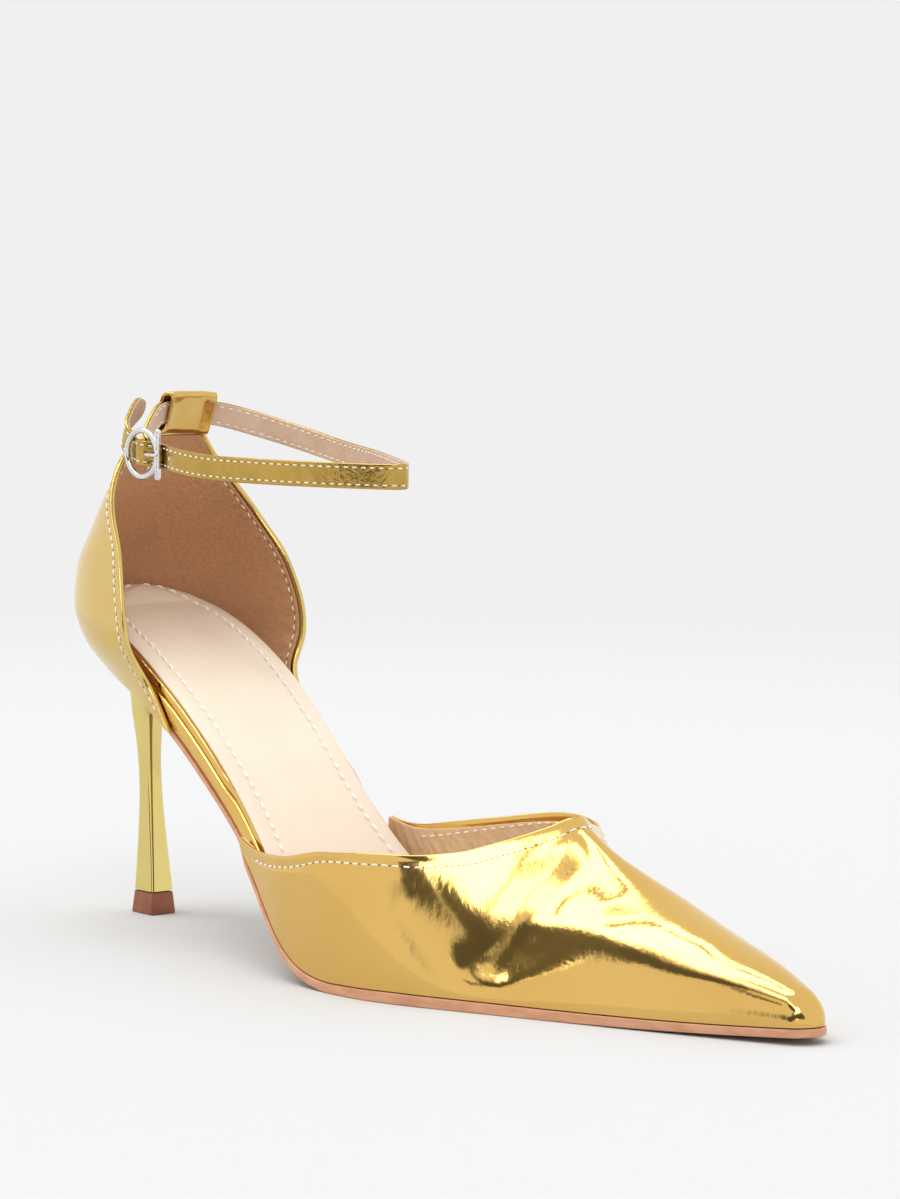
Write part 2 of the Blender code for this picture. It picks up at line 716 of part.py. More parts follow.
# The strap's own frame: its loop's middle, and the buckle's directions
LOOP_DEPTH = STRAP_THICKNESS + 2 * (LOOP_ROOM + LOOP_WALL)
COUNTER_TOP = HEEL_HEIGHT + WAIST_SOLE + COUNTER_HEIGHT
LOOP_MIDDLE = np.array(
    [
        CUP[-1][1] * CUP_DEPTH - SEAT_BACK + (LOOP_LEAN * LOOP_HEIGHT + LOOP_DEPTH) / 2 - COUNTER_WALL,
        0.0,
        COUNTER_TOP + GAP + LOOP_HEIGHT / 2,
    ]
)
AHEAD = np.array([math.cos(BUCKLE_TURN), math.sin(BUCKLE_TURN), 0.0])
OUTWARD = np.array([math.sin(BUCKLE_TURN), -math.cos(BUCKLE_TURN), 0.0])
UPWARD = np.array([0.0, 0.0, 1.0])
FORWARD = np.array([1.0, 0.0, 0.0])


def route_point(row):
    ahead, across, drop = row
    offset = np.array([ahead * STRAP_REACH, across * STRAP_SPREAD, -drop * STRAP_DROP])
    return LOOP_MIDDLE + offset


BUCKLE = route_point(BUCKLE_PLACE)
BAR_INWARD = BUCKLE_WIRE * 2 + STRAP_THICKNESS * 0.65 + GAP


def at_buckle(ahead, outward, upward=0.0):
    """A point given from the buckle's middle, in metres."""
    return BUCKLE + ahead * AHEAD + outward * OUTWARD + upward * UPWARD


def strap_route():
    """The band's middle line: a hook round the centre bar, the loop, the front bend, the tip."""
    hook = BUCKLE_WIRE + GAP + STRAP_THICKNESS / 2
    points = []
    for degrees in (125, 90, 45, 0, -45, -90):
        turn = math.radians(degrees)
        points.append(at_buckle(hook * math.cos(turn), hook * math.sin(turn) - BAR_INWARD))
    points += [route_point(row) for row in ROUTE_BACK]
    over = hook + STRAP_THICKNESS + GAP - BAR_INWARD
    points.append(at_buckle(1.75 * BUCKLE_RADIUS, -0.35 * hook, -STRAP_LIFT))
    points.append(at_buckle(1.05 * BUCKLE_RADIUS, -hook, -STRAP_LIFT / 2))
    points.append(at_buckle(0.50 * BUCKLE_RADIUS, (over - hook) / 2, 0.0))
    points.append(at_buckle(0.05 * BUCKLE_RADIUS, over, STRAP_LIFT / 2))
    points.append(at_buckle(-0.45 * BUCKLE_RADIUS, (over - hook) / 2, STRAP_LIFT))
    points.append(at_buckle(-0.98 * BUCKLE_RADIUS, -hook, 2 * STRAP_LIFT))
    points += [route_point(row) for row in ROUTE_TIP]
    return np.array(points)


def fine_route(points, step):
    """Evenly spaced points on the smooth curve through a route, with its unit tangents."""
    length = np.concatenate([[0], np.cumsum(np.linalg.norm(np.diff(points, axis=0), axis=1) ** 0.7)])
    axes = [smooth(length, points[:, i]) for i in range(3)]
    dense = np.linspace(0, length[-1], 4000)
    line = np.stack([axis(dense) for axis in axes], 1)
    run = np.concatenate([[0], np.cumsum(np.linalg.norm(np.diff(line, axis=0), axis=1))])
    count = int(round(run[-1] / step)) + 1
    even = np.interp(np.linspace(0, run[-1], count), run, dense)
    line = np.stack([axis(even) for axis in axes], 1)
    tangent = np.gradient(line, axis=0)
    return line, tangent / np.linalg.norm(tangent, axis=1, keepdims=True), run[-1]


def band_rings(line, tangent, half_width, half_thick, edge_round):
    """Rings of a flat band whose width stands up, with eased edges."""
    ahead = (line[:, 0] - LOOP_MIDDLE[0]) / (0.115 * STRAP_REACH)
    lean = LOOP_LEAN * np.clip(1 - np.abs(ahead), 0, 1) ** 2
    across = np.cross(tangent, UPWARD + lean[:, None] * FORWARD)
    across /= np.linalg.norm(across, axis=1, keepdims=True)
    width = np.cross(across, tangent)
    w = half_width if np.ndim(half_width) else np.full(len(line), half_width)
    profile = []
    for su, st in ((1, 1), (1, -1), (-1, -1), (-1, 1)):
        corner = [(w - edge_round, half_thick), (w, half_thick - edge_round)]
        if su * st < 0:
            corner = corner[::-1]
        for u, t in corner:
            profile.append(line + width * (su * u)[:, None] + across * (st * t))
    return np.stack(profile, 1)


def as_mesh(made):
    """A curve object turned into a mesh object with its caps welded."""
    graph = bpy.context.evaluated_depsgraph_get()
    mesh = bpy.data.meshes.new_from_object(made.evaluated_get(graph))
    shape = bmesh.new()
    shape.from_mesh(mesh)
    bmesh.ops.remove_doubles(shape, verts=shape.verts, dist=1e-6)
    bmesh.ops.recalc_face_normals(shape, faces=shape.faces)
    shape.to_mesh(mesh)
    shape.free()
    solid = bpy.data.objects.new(made.name + "_solid", mesh)
    solid.matrix_world = made.matrix_world
    bpy.data.objects.remove(made)
    return solid


def wire(name, points, radius, group, resolution=2):
    """A round wire along points, with filled caps."""
    data = bpy.data.curves.new(name, "CURVE")
    data.dimensions = "3D"
    data.bevel_depth = radius
    data.bevel_resolution = resolution
    data.use_fill_caps = True
    spline = data.splines.new("POLY")
    spline.points.add(len(points) - 1)
    for i, point in enumerate(points):
        spline.points[i].co = (*point, 1.0)
    made = bpy.data.objects.new(name, data)
    group.objects.link(made)
    return made


def boolean(target, tool, operation):
    tool.hide_render = True
    tool.display_type = "WIRE"
    modifier = target.modifiers.new(operation.lower(), "BOOLEAN")
    modifier.operation = operation
    modifier.solver = "EXACT"
    modifier.object = tool


HOLE_AHEAD = 0.36 * BUCKLE_RADIUS


def make_strap(finish):
    """One band: hooked round the centre bar, through the loop, round the ankle, to its tip."""
    line, tangent, length = fine_route(strap_route(), STRAP_STEP)
    run = np.linspace(0, length, len(line))
    to_tip = length - run
    point = np.clip(to_tip / (STRAP_WIDTH * 0.6), 0.03, 1)
    half_width = STRAP_WIDTH / 2 * np.sqrt(point * (2 - point))
    rings = band_rings(line, tangent, half_width, STRAP_THICKNESS / 2, STRAP_THICKNESS * 0.2)
    made = mesh_object("ankle_strap", *loft(rings), finish)
    room = PRONG_WIRE + PRONG_ROOM
    bpy.ops.mesh.primitive_cylinder_add(vertices=16, radius=room, depth=3.75 * STRAP_THICKNESS)
    hole = bpy.context.object
    hole.name = "prong_hole_cutter"
    hole.location = at_buckle(HOLE_AHEAD, PRONG_WIRE)
    hole.rotation_euler = (math.pi / 2, 0, BUCKLE_TURN)
    bpy.ops.mesh.primitive_cube_add(size=1)
    slot = bpy.context.object
    slot.name = "prong_slot_cutter"
    hook = BUCKLE_WIRE + GAP + STRAP_THICKNESS
    slot.scale = (2.2 * hook, hook, 2 * room)
    slot.location = at_buckle(0.07 * hook, -BAR_INWARD + hook / 2)
    slot.rotation_euler = (0, 0, BUCKLE_TURN)
    for tool in (hole, slot):
        for other in list(tool.users_collection):
            other.objects.unlink(tool)
        cutters.objects.link(tool)
    boolean(made, hole, "DIFFERENCE")
    boolean(made, slot, "DIFFERENCE")
    return made


def make_loop(finish):
    """The counter's top folded into a tunnel round the strap."""
    half = LOOP_LENGTH / 2
    points = np.array([route_point(row) for row in ROUTE_BACK[2:7]])
    line, tangent, length = fine_route(points, LOOP_STEP)
    middle = np.argmin(np.abs(line[:, 1]))
    run = np.linspace(0, length, len(line))
    picked = np.interp(np.linspace(run[middle] - half, run[middle] + half, 9), run, np.arange(len(line)))
    index = np.round(picked).astype(int)
    line = line[index]
    across = np.cross(tangent[index], UPWARD)
    across /= np.linalg.norm(across, axis=1, keepdims=True)
    turn = np.linspace(0, 2 * math.pi, 20, endpoint=False)

    def ring(depth, height):
        """A rounded rectangle across the strap."""
        cos, sin = np.cos(turn), np.sin(turn)
        out = depth / 2 * np.sign(cos) * np.abs(cos) ** 0.62
        up = height / 2 * np.sign(sin) * np.abs(sin) ** 0.36
        rise = UPWARD + LOOP_LEAN * FORWARD
        return line[:, None] + across[:, None] * out[None, :, None] + rise * up[None, :, None]

    outside = ring(LOOP_DEPTH, LOOP_HEIGHT)
    inside = ring(LOOP_DEPTH - 2 * LOOP_WALL, LOOP_HEIGHT - 2 * LOOP_WALL)
    return mesh_object("strap_loop", *wall(outside, inside, closed_across=True), finish)


def make_buckle(finish):
    """A round ring with a straight bar in front and a bar across its middle for the strap's fold."""
    bpy.ops.mesh.primitive_torus_add(
        major_radius=BUCKLE_RADIUS, minor_radius=BUCKLE_WIRE, major_segments=32, minor_segments=8
    )
    ring = bpy.context.object
    ring.name = "buckle_frame"
    ring.data.name = "buckle_frame"
    ring.location = BUCKLE
    ring.rotation_euler = (math.pi / 2, 0, BUCKLE_TURN)
    for other in list(ring.users_collection):
        other.objects.unlink(ring)
    collection.objects.link(ring)
    ring.data.materials.append(finish)
    ring.data.shade_smooth()
    front = BUCKLE_RADIUS + BUCKLE_WIRE * 0.35
    straight = [at_buckle(front, 0.0, sign * BAR_LENGTH / 2) for sign in (-1, 1)]
    reach = BUCKLE_RADIUS
    bend = STRAP_WIDTH / 2 + BUCKLE_WIRE + GAP
    dipped = [
        at_buckle(0, 0, -reach),
        at_buckle(0, -BAR_INWARD * 0.75, -(bend + reach) / 2 - BUCKLE_WIRE * 0.3),
        at_buckle(0, -BAR_INWARD, -bend),
        at_buckle(0, -BAR_INWARD, bend),
        at_buckle(0, -BAR_INWARD * 0.75, (bend + reach) / 2 + BUCKLE_WIRE * 0.3),
        at_buckle(0, 0, reach),
    ]
    for name, points, radius in (
        ("front_bar", straight, BUCKLE_WIRE * 1.1),
        ("centre_bar", dipped, BUCKLE_WIRE * 0.95),
    ):
        bar = as_mesh(wire(name, points, radius, cutters))
        cutters.objects.link(bar)
        boolean(ring, bar, "UNION")
    return ring


def make_prong(finish):
    """The pin: hooked on the centre bar, up through the strap's hole, resting on the front bar."""
    hook = BUCKLE_WIRE + GAP + PRONG_WIRE
    rest = BUCKLE_WIRE * 1.1 + GAP + PRONG_WIRE
    front = BUCKLE_RADIUS + BUCKLE_WIRE * 0.35
    points = []
    for degrees in (190, 160, 130, 100, 70):
        turn = math.radians(degrees)
        points.append(at_buckle(hook * math.cos(turn), hook * math.sin(turn) - BAR_INWARD))
    points.append(at_buckle(HOLE_AHEAD * 0.8, -BAR_INWARD * 0.35))
    points.append(at_buckle(HOLE_AHEAD, PRONG_WIRE))
    points.append(at_buckle(HOLE_AHEAD * 1.5, rest * 0.85))
    points.append(at_buckle(front * 0.75, rest))
    points.append(at_buckle(front * 1.18, rest))
    made = wire("buckle_prong", points, PRONG_WIRE, collection)
    made.data.materials.append(finish)
    return made


def main():
    clear_scene()
    gold = material("gold mirror leather", (0.83, 0.62, 0.27), 0.12, 1.0)
    board_gold = material("gold wrap", (0.80, 0.60, 0.27), 0.15, 1.0)
    heel_gold = material("gold plated heel", (0.86, 0.74, 0.38), 0.10, 1.0)
    beige = material("beige sock", (0.81, 0.69, 0.58), 0.55)
    peach = material("peach sole edge", (0.72, 0.40, 0.26), 0.50)
    brick = material("brown top piece", (0.30, 0.10, 0.05), 0.60)
    silver = material("silver buckle", (0.80, 0.80, 0.80), 0.15, 1.0)
    make_outsole(peach)
    make_board(board_gold)
    make_insole(beige)
    make_vamp(gold)
    make_counter(gold)
    make_heel(heel_gold)
    make_heel_tip(brick)
    make_loop(gold)
    make_strap(gold)
    make_buckle(silver)
    make_prong(silver)


if __name__ == "__main__":
    main()
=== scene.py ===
import math

import bmesh
import bpy
import numpy as np
from mathutils import Matrix


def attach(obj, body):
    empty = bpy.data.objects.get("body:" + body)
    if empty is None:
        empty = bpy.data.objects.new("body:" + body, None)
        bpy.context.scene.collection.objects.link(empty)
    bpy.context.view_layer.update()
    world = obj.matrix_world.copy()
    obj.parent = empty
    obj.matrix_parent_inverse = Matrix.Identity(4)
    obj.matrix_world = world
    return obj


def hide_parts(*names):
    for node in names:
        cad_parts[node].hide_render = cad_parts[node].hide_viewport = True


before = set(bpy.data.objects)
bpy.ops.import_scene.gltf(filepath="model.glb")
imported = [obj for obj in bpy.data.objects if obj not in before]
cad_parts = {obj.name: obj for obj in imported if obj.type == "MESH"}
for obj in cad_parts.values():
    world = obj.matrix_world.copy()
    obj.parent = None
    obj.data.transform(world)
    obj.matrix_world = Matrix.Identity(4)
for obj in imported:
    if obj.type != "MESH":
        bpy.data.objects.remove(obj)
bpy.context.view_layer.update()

# Camera. A long lens a little above the floor, ahead of the shoe on its outer side.
# It aims at the middle of the shoe and fills the frame of 900 by 1199 with it.
IMAGE_WIDTH = 900
FOCAL_PIXELS = 5229.9
SENSOR = 36.0
CAMERA_AZIMUTH = math.radians(51.1578)
CAMERA_ELEVATION = math.radians(5.7919)
CAMERA_ROLL = math.radians(0.3561)
CAMERA_DISTANCE = 1.2
CAMERA_TARGET = np.array([0.1165974, 0.0, 0.0877415])

camera_back = np.array(
    [
        math.sin(CAMERA_AZIMUTH) * math.cos(CAMERA_ELEVATION),
        -math.cos(CAMERA_AZIMUTH) * math.cos(CAMERA_ELEVATION),
        math.sin(CAMERA_ELEVATION),
    ]
)
level_right = np.array([math.cos(CAMERA_AZIMUTH), math.sin(CAMERA_AZIMUTH), 0.0])
level_up = np.cross(camera_back, level_right)
turned = np.eye(4)
turned[:3, 0] = level_right * math.cos(CAMERA_ROLL) + level_up * math.sin(CAMERA_ROLL)
turned[:3, 1] = level_up * math.cos(CAMERA_ROLL) - level_right * math.sin(CAMERA_ROLL)
turned[:3, 2] = camera_back
turned[:3, 3] = CAMERA_TARGET + CAMERA_DISTANCE * camera_back
camera_data = bpy.data.cameras.new("camera")
camera_data.sensor_fit = "HORIZONTAL"
camera_data.sensor_width = SENSOR
camera_data.lens = FOCAL_PIXELS * SENSOR / IMAGE_WIDTH
camera_data.clip_start = 0.05
camera_data.clip_end = 20.0
camera = bpy.data.objects.new("camera", camera_data)
camera.matrix_world = Matrix(turned.tolist())
bpy.context.scene.collection.objects.link(camera)
bpy.context.scene.camera = camera
bpy.context.scene.view_settings.view_transform = "Standard"

# Studio. White walls all round, four soft boxes overhead and a few dark flags and gaps.
# The mirror leather shows them as its cream, brown and olive bands.
WALL_LIGHT = (1.040, 1.042, 1.038)
BACKDROP = (0.871, 0.871, 0.871)
BOX_LIGHT = 5.6
FLAG_LIGHT = 0.12
GAP_LIGHT = 0.30
# Each card is a rounded stroke of directions: azimuth and elevation of its two ends, half
# width and softness of its edge in degrees, light.
CARDS = (
    ("box over the vamp", -50.5, 53.4, -94, 83.4, 10.9, 2.0, BOX_LIGHT),
    ("box beside the camera", 45, 19, 58, 46.5, 7.9, 2.0, BOX_LIGHT),
    ("box between them", 41.7, 52.3, 14.8, 58.1, 2.3, 1.5, BOX_LIGHT),
    ("box across the top", 5.2, 62.2, -52.8, 53.6, 3.1, 1.5, BOX_LIGHT),
    ("flag over the camera", 12.7, 5, 67.4, 28.5, 10.6, 3.0, FLAG_LIGHT),
    ("flag above it", 23.3, 23.9, 37.2, 33.5, 2.5, 1.5, FLAG_LIGHT),
    ("flag's bend", 41.7, 41.9, 22.2, 46.3, 5.8, 1.5, FLAG_LIGHT),
    ("flag under the box", 26.7, 50.7, -25.5, 49.4, 2.8, 1.0, FLAG_LIGHT),
    ("flag below it", -12.7, 51.8, -50, 45.6, 3.5, 1.2, FLAG_LIGHT),
    ("flag toward the toe", -23.1, 54.4, 0.4, 39.4, 1.7, 1.5, FLAG_LIGHT),
    ("gap beside the box", -56.4, 55.5, -77.5, 69.6, 1.7, 1.0, GAP_LIGHT),
    ("gap over the box", -70.5, 73.6, -134.5, 82.7, 1.7, 1.0, GAP_LIGHT),
)

world = bpy.data.worlds.new("studio")
bpy.context.scene.world = world
world.use_nodes = True
studio = world.node_tree
studio.nodes.clear()


def node(tree, kind, **settings):
    """A new node of a node tree with its settings."""
    made = tree.nodes.new(kind)
    for key, value in settings.items():
        setattr(made, key, value)
    return made


def toward(azimuth, elevation):
    """The unit direction of an azimuth and an elevation in degrees."""
    a, e = math.radians(azimuth), math.radians(elevation)
    return np.array([math.sin(a) * math.cos(e), -math.cos(a) * math.cos(e), math.sin(e)])


def card_share(start, end, half_width, soft):
    """1 inside a soft-edged stroke of directions, 0 outside: the direction's distance from the
    chord between two unit directions is compared with the chord of the stroke's half width."""
    chord = end - start
    offset = node(studio, "ShaderNodeVectorMath", operation="SUBTRACT")
    studio.links.new(direction, offset.inputs[0])
    offset.inputs[1].default_value = start
    dot = node(studio, "ShaderNodeVectorMath", operation="DOT_PRODUCT")
    studio.links.new(offset.outputs[0], dot.inputs[0])
    dot.inputs[1].default_value = chord / (chord @ chord)
    along = node(studio, "ShaderNodeClamp")
    studio.links.new(dot.outputs["Value"], along.inputs["Value"])
    back = node(studio, "ShaderNodeVectorMath", operation="SCALE")
    back.inputs[0].default_value = chord
    studio.links.new(along.outputs["Result"], back.inputs["Scale"])
    gap = node(studio, "ShaderNodeVectorMath", operation="DISTANCE")
    studio.links.new(offset.outputs[0], gap.inputs[0])
    studio.links.new(back.outputs[0], gap.inputs[1])
    ranged = node(studio, "ShaderNodeMapRange", interpolation_type="SMOOTHSTEP")
    studio.links.new(gap.outputs["Value"], ranged.inputs["Value"])
    ranged.inputs["From Min"].default_value = 2 * math.sin(math.radians(half_width + soft) / 2)
    ranged.inputs["From Max"].default_value = 2 * math.sin(math.radians(half_width - soft) / 2)
    return ranged.outputs["Result"]


direction = node(studio, "ShaderNodeTexCoord").outputs["Generated"]
light = None
for _, azimuth, elevation, end_azimuth, end_elevation, half_width, soft, strength in CARDS:
    mix = node(studio, "ShaderNodeMix", data_type="RGBA")
    ends_at = toward(azimuth, elevation), toward(end_azimuth, end_elevation)
    studio.links.new(card_share(*ends_at, half_width, soft), mix.inputs["Factor"])
    if light is None:
        mix.inputs["A"].default_value = (*WALL_LIGHT, 1.0)
    else:
        studio.links.new(light, mix.inputs["A"])
    mix.inputs["B"].default_value = (strength, strength, strength, 1.0)
    light = mix.outputs["Result"]
seen = node(studio, "ShaderNodeMix", data_type="RGBA")
studio.links.new(node(studio, "ShaderNodeLightPath").outputs["Is Camera Ray"], seen.inputs["Factor"])
studio.links.new(light, seen.inputs["A"])
seen.inputs["B"].default_value = (*BACKDROP, 1.0)
shining = node(studio, "ShaderNodeBackground")
studio.links.new(seen.outputs["Result"], shining.inputs["Color"])
studio.links.new(shining.outputs[0], node(studio, "ShaderNodeOutputWorld").inputs["Surface"])

# Floor. A pale matt sheet that fades into the backdrop a good way from the shoe.
FLOOR_REACH = 1.2
FLOOR_COLOUR = (0.640, 0.643, 0.647)
FLOOR_FADE = (0.35, 0.80)
floor_mesh = bpy.data.meshes.new("floor")
floor_mesh.from_pydata(
    [(x * FLOOR_REACH, y * FLOOR_REACH, 0) for x, y in ((-1, -1), (1, -1), (1, 1), (-1, 1))],
    [],
    [(0, 1, 2, 3)],
)
floor = bpy.data.objects.new("floor", floor_mesh)
bpy.context.scene.collection.objects.link(floor)
paper = bpy.data.materials.new("floor paper")
paper.use_nodes = True
tree = paper.node_tree
tree.nodes.clear()
place = node(tree, "ShaderNodeTexCoord")
reach = node(tree, "ShaderNodeVectorMath", operation="LENGTH")
tree.links.new(place.outputs["Object"], reach.inputs[0])
fade = node(tree, "ShaderNodeMapRange", interpolation_type="SMOOTHSTEP")
tree.links.new(reach.outputs["Value"], fade.inputs["Value"])
fade.inputs["From Min"].default_value, fade.inputs["From Max"].default_value = FLOOR_FADE
matt = node(tree, "ShaderNodeBsdfDiffuse")
matt.inputs["Color"].default_value = (*FLOOR_COLOUR, 1.0)
clear = node(tree, "ShaderNodeBsdfTransparent")
both = node(tree, "ShaderNodeMixShader")
tree.links.new(fade.outputs["Result"], both.inputs[0])
tree.links.new(matt.outputs[0], both.inputs[1])
tree.links.new(clear.outputs[0], both.inputs[2])
tree.links.new(both.outputs[0], node(tree, "ShaderNodeOutputMaterial").inputs["Surface"])
floor_mesh.materials.append(paper)

# Outsole. A thin leather sole with a painted peach edge, cemented under the upper's margin.
# It runs from the heel's breast to the toe, 2.4 mm thick at the ball and half that at the waist.
GAP = 0.0003
TOE_REACH = 0.2308
SEAT_BACK = 0.0133
SEAT_FRONT = 0.0345
BREAST = 0.0220
HEEL_HEIGHT = 0.0640
BALL_WIDTH = 0.0660
SOLE_THICKNESS = 0.0024
WAIST_SOLE = 0.0012
BOARD_DEPTH = 0.0103
VAMP_WALL = 0.0014
COUNTER_WALL = 0.0014
VAMP_BACK = 0.0735
SOLE_EDGE = 0.0004
NOSE_PLAN = 0.0035
NOSE_SIDE = 0.0060
TUCK_HEIGHT = 0.0140
TUCK_LENGTH = 0.0300
TUCK_SIDE = 0.27
TUCK_BACK = 0.08
SOLE_ROUNDING = 0.0004
PEACH = (0.700, 0.350, 0.195)
PEACH_WORN = (0.590, 0.270, 0.140)
SOLE_TAN = (0.520, 0.330, 0.200)
SOLE_TAN_DEEP = (0.420, 0.250, 0.140)
# The shoe's bottom, along it from the seat's back to the toe.
# along: share of the toe reach. under: sole's underside, share of heel height.
# sole: share of sole thickness. board: share of board depth.
# outer, inner: half widths of the board, share of ball width.
# inset_outer, inset_inner: how far the sock's edge lies inside the board's, in mm.
BOTTOM_COLUMNS = ("along", "under", "sole", "board", "outer", "inner", "inset_outer", "inset_inner")
BOTTOM = (
    (-0.062, 1.056, 0.50, 1.07, 0.326, 0.326, 1.2, 1.2),
    (0.000, 1.000, 0.50, 1.00, 0.330, 0.326, 1.2, 1.2),
    (0.065, 0.925, 0.50, 0.95, 0.324, 0.306, 1.2, 1.4),
    (0.138, 0.831, 0.50, 0.74, 0.332, 0.283, 1.3, 1.5),
    (0.229, 0.641, 0.50, 0.64, 0.361, 0.255, 1.7, 2.4),
    (0.320, 0.400, 0.54, 0.55, 0.398, 0.242, 1.6, 4.0),
    (0.363, 0.266, 0.60, 0.55, 0.433, 0.252, 1.6, 3.9),
    (0.410, 0.125, 0.67, 0.49, 0.476, 0.285, 1.6, 3.0),
    (0.449, 0.042, 0.79, 0.39, 0.497, 0.324, 1.5, 2.2),
    (0.488, 0.006, 0.88, 0.30, 0.505, 0.373, 1.5, 1.6),
    (0.553, 0.000, 1.00, 0.24, 0.494, 0.445, 1.5, 1.5),
    (0.639, 0.000, 1.04, 0.23, 0.400, 0.479, 1.5, 1.5),
    (0.734, 0.000, 1.00, 0.23, 0.264, 0.448, 1.5, 1.5),
    (0.821, 0.004, 0.92, 0.23, 0.142, 0.383, 1.5, 1.5),
    (0.916, 0.014, 0.83, 0.23, 0.003, 0.286, 1.5, 1.5),
    (1.000, 0.028, 0.79, 0.23, -0.129, 0.191, 1.5, 1.5),
)


def smooth(knots, values):
    """The natural cubic through the knots: each span's cubic has second derivatives from one
    linear system, with none at the two ends."""
    knots = np.asarray(knots, float)
    values = np.asarray(values, float)
    steps = np.diff(knots)
    size = len(knots)
    rows = np.eye(size)
    right = np.zeros(size)
    for i in range(1, size - 1):
        rows[i, i - 1 : i + 2] = steps[i - 1], 2 * (steps[i - 1] + steps[i]), steps[i]
        slope = (values[i + 1] - values[i]) / steps[i]
        right[i] = 6 * (slope - (values[i] - values[i - 1]) / steps[i - 1])
    bend = np.linalg.solve(rows, right)

    def at(x):
        x = np.asarray(x, float)
        i = np.clip(np.searchsorted(knots, x) - 1, 0, size - 2)
        h = steps[i]
        a = (knots[i + 1] - x) / h
        b = (x - knots[i]) / h
        cubic = ((a**3 - a) * bend[i] + (b**3 - b) * bend[i + 1]) * h * h / 6
        return a * values[i] + b * values[i + 1] + cubic

    return at


def curves(table, columns, scales):
    """One smooth function for each column of a table, along its scaled first column."""
    data = np.array(table, float)
    along = data[:, 0] * scales[columns[0]]
    return {
        name: smooth(along, data[:, i] * scales.get(name, 1.0))
        for i, name in enumerate(columns)
        if i > 0
    }


bottom = curves(
    BOTTOM,
    BOTTOM_COLUMNS,
    {
        "along": TOE_REACH,
        "under": HEEL_HEIGHT,
        "sole": SOLE_THICKNESS,
        "board": BOARD_DEPTH,
        "outer": BALL_WIDTH,
        "inner": BALL_WIDTH,
        "inset_outer": 0.001,
        "inset_inner": 0.001,
    },
)


def underside(x):
    """Height of the sole's underside, flat on the floor under the ball."""
    height = bottom["under"](x)
    return np.where(height < 0.00004, 0.0, height)


def feather(x):
    """Height of the sole's top: its underside plus its thickness."""
    return underside(x) + np.maximum(bottom["sole"](x), WAIST_SOLE)


def ease(share):
    """0 up to 0, 1 from 1 on, and a smooth S between."""
    share = np.clip(share, 0, 1)
    return share * share * (3 - 2 * share)


def bell(place, middle, width):
    """A soft bell of height 1: e to the minus square of the distance over the width."""
    return np.exp(-(((place - middle) / width) ** 2))


def powered(wave, power):
    """A cosine or sine raised to a power with its sign kept, which squares a round section."""
    return np.sign(wave) * np.abs(wave) ** power


def unit(vectors):
    """Vectors divided by their own lengths."""
    return vectors / np.maximum(np.linalg.norm(vectors, axis=-1, keepdims=True), 1e-12)


def run_along(points):
    """Distance from the first row to each row of points, along each column."""
    steps = np.linalg.norm(np.diff(points, axis=0), axis=-1)
    return np.concatenate([np.zeros((1, *steps.shape[1:])), np.cumsum(steps, axis=0)])


def swing(angle, fullness):
    """Cosine and sine with a third harmonic, which squares or sharpens a round section."""
    along = (np.cos(angle) - fullness * np.cos(3 * angle)) / (1 - fullness)
    across = (np.sin(angle) + fullness * np.sin(3 * angle)) / (1 - fullness)
    return along, across


SEAT_FULLNESS = 0.045
seat_turn = np.linspace(0, math.pi / 2, 900)
seat_cos, seat_sin = swing(seat_turn, SEAT_FULLNESS)


def seat_round(x, grow):
    """Share of the full width at x, as the seat's back rounds it off."""
    share = (x + SEAT_BACK + grow) / (SEAT_FRONT + SEAT_BACK + grow)
    return np.interp(np.clip(share, 0, 1), 1 - seat_cos, seat_sin)


def toe_round(x, length, beyond=0.0):
    """Share of the full width at the toe, on an ellipse: 1 behind the nose, 0 at its tip."""
    length = np.maximum(length, NOSE_PLAN / 3)
    share = np.clip((x - (TOE_REACH + beyond - length)) / length, 0, 1)
    return np.sqrt(1 - share * share)


def edge(x, side, grow=0.0):
    """Where the board's edge, grown outward, lies across at x. side is -1 outer, +1 inner."""
    half = bottom["outer" if side < 0 else "inner"](x) + grow
    other = bottom["inner" if side < 0 else "outer"](x) + grow
    middle = (half - other) / 2
    beyond = grow - VAMP_WALL - GAP
    reach = middle + (half - middle) * toe_round(x, NOSE_PLAN + beyond, beyond)
    return side * reach * seat_round(x, grow)


def stations(start, end, count, nose=0.0, heel=0.0):
    """Places along the shoe, even between the roundings and by angle round them."""
    places = np.linspace(start + heel, end - nose, count)
    turn = np.radians(np.linspace(8, 88, 14))
    if nose:
        places = np.concatenate([places, end - nose + nose * np.sin(turn)])
    if heel:
        places = np.concatenate([(start + heel - heel * np.sin(turn))[::-1], places])
    return places


def tuck(x, y, rise):
    """Draws the heel seat in towards its foot; rise is the height above the sole."""
    share = np.clip(1 - rise / TUCK_HEIGHT, 0, 1) ** 2 * np.clip(1 - x / TUCK_LENGTH, 0, 1)
    middle = TUCK_LENGTH / 3
    return x - (x - middle) * TUCK_BACK * share, y * (1 - TUCK_SIDE * share)


def slab(x, profile):
    """Rings across the shoe at each x, from a profile of (side, grow, height) at arrays x."""
    rings = []
    for side, grow, height in profile:
        place = np.where(x < 0, x * (SEAT_BACK + grow) / SEAT_BACK, x)
        ahead, across = tuck(place, edge(place, side, grow), height - feather(x))
        rings.append(np.stack([ahead, across, height], 1))
    return np.stack(rings, 1)


def quads(rows, cols, wrap_rows=False, wrap_cols=False):
    """Index quads of a grid, with its last row or column joined to its first where asked."""
    i, j = np.meshgrid(
        np.arange(rows if wrap_rows else rows - 1),
        np.arange(cols if wrap_cols else cols - 1),
        indexing="ij",
    )
    a, b = i * cols + j, i * cols + (j + 1) % cols
    c, d = (i + 1) % rows * cols + (j + 1) % cols, (i + 1) % rows * cols + j
    return np.stack([a, b, c, d], -1).reshape(-1, 4)


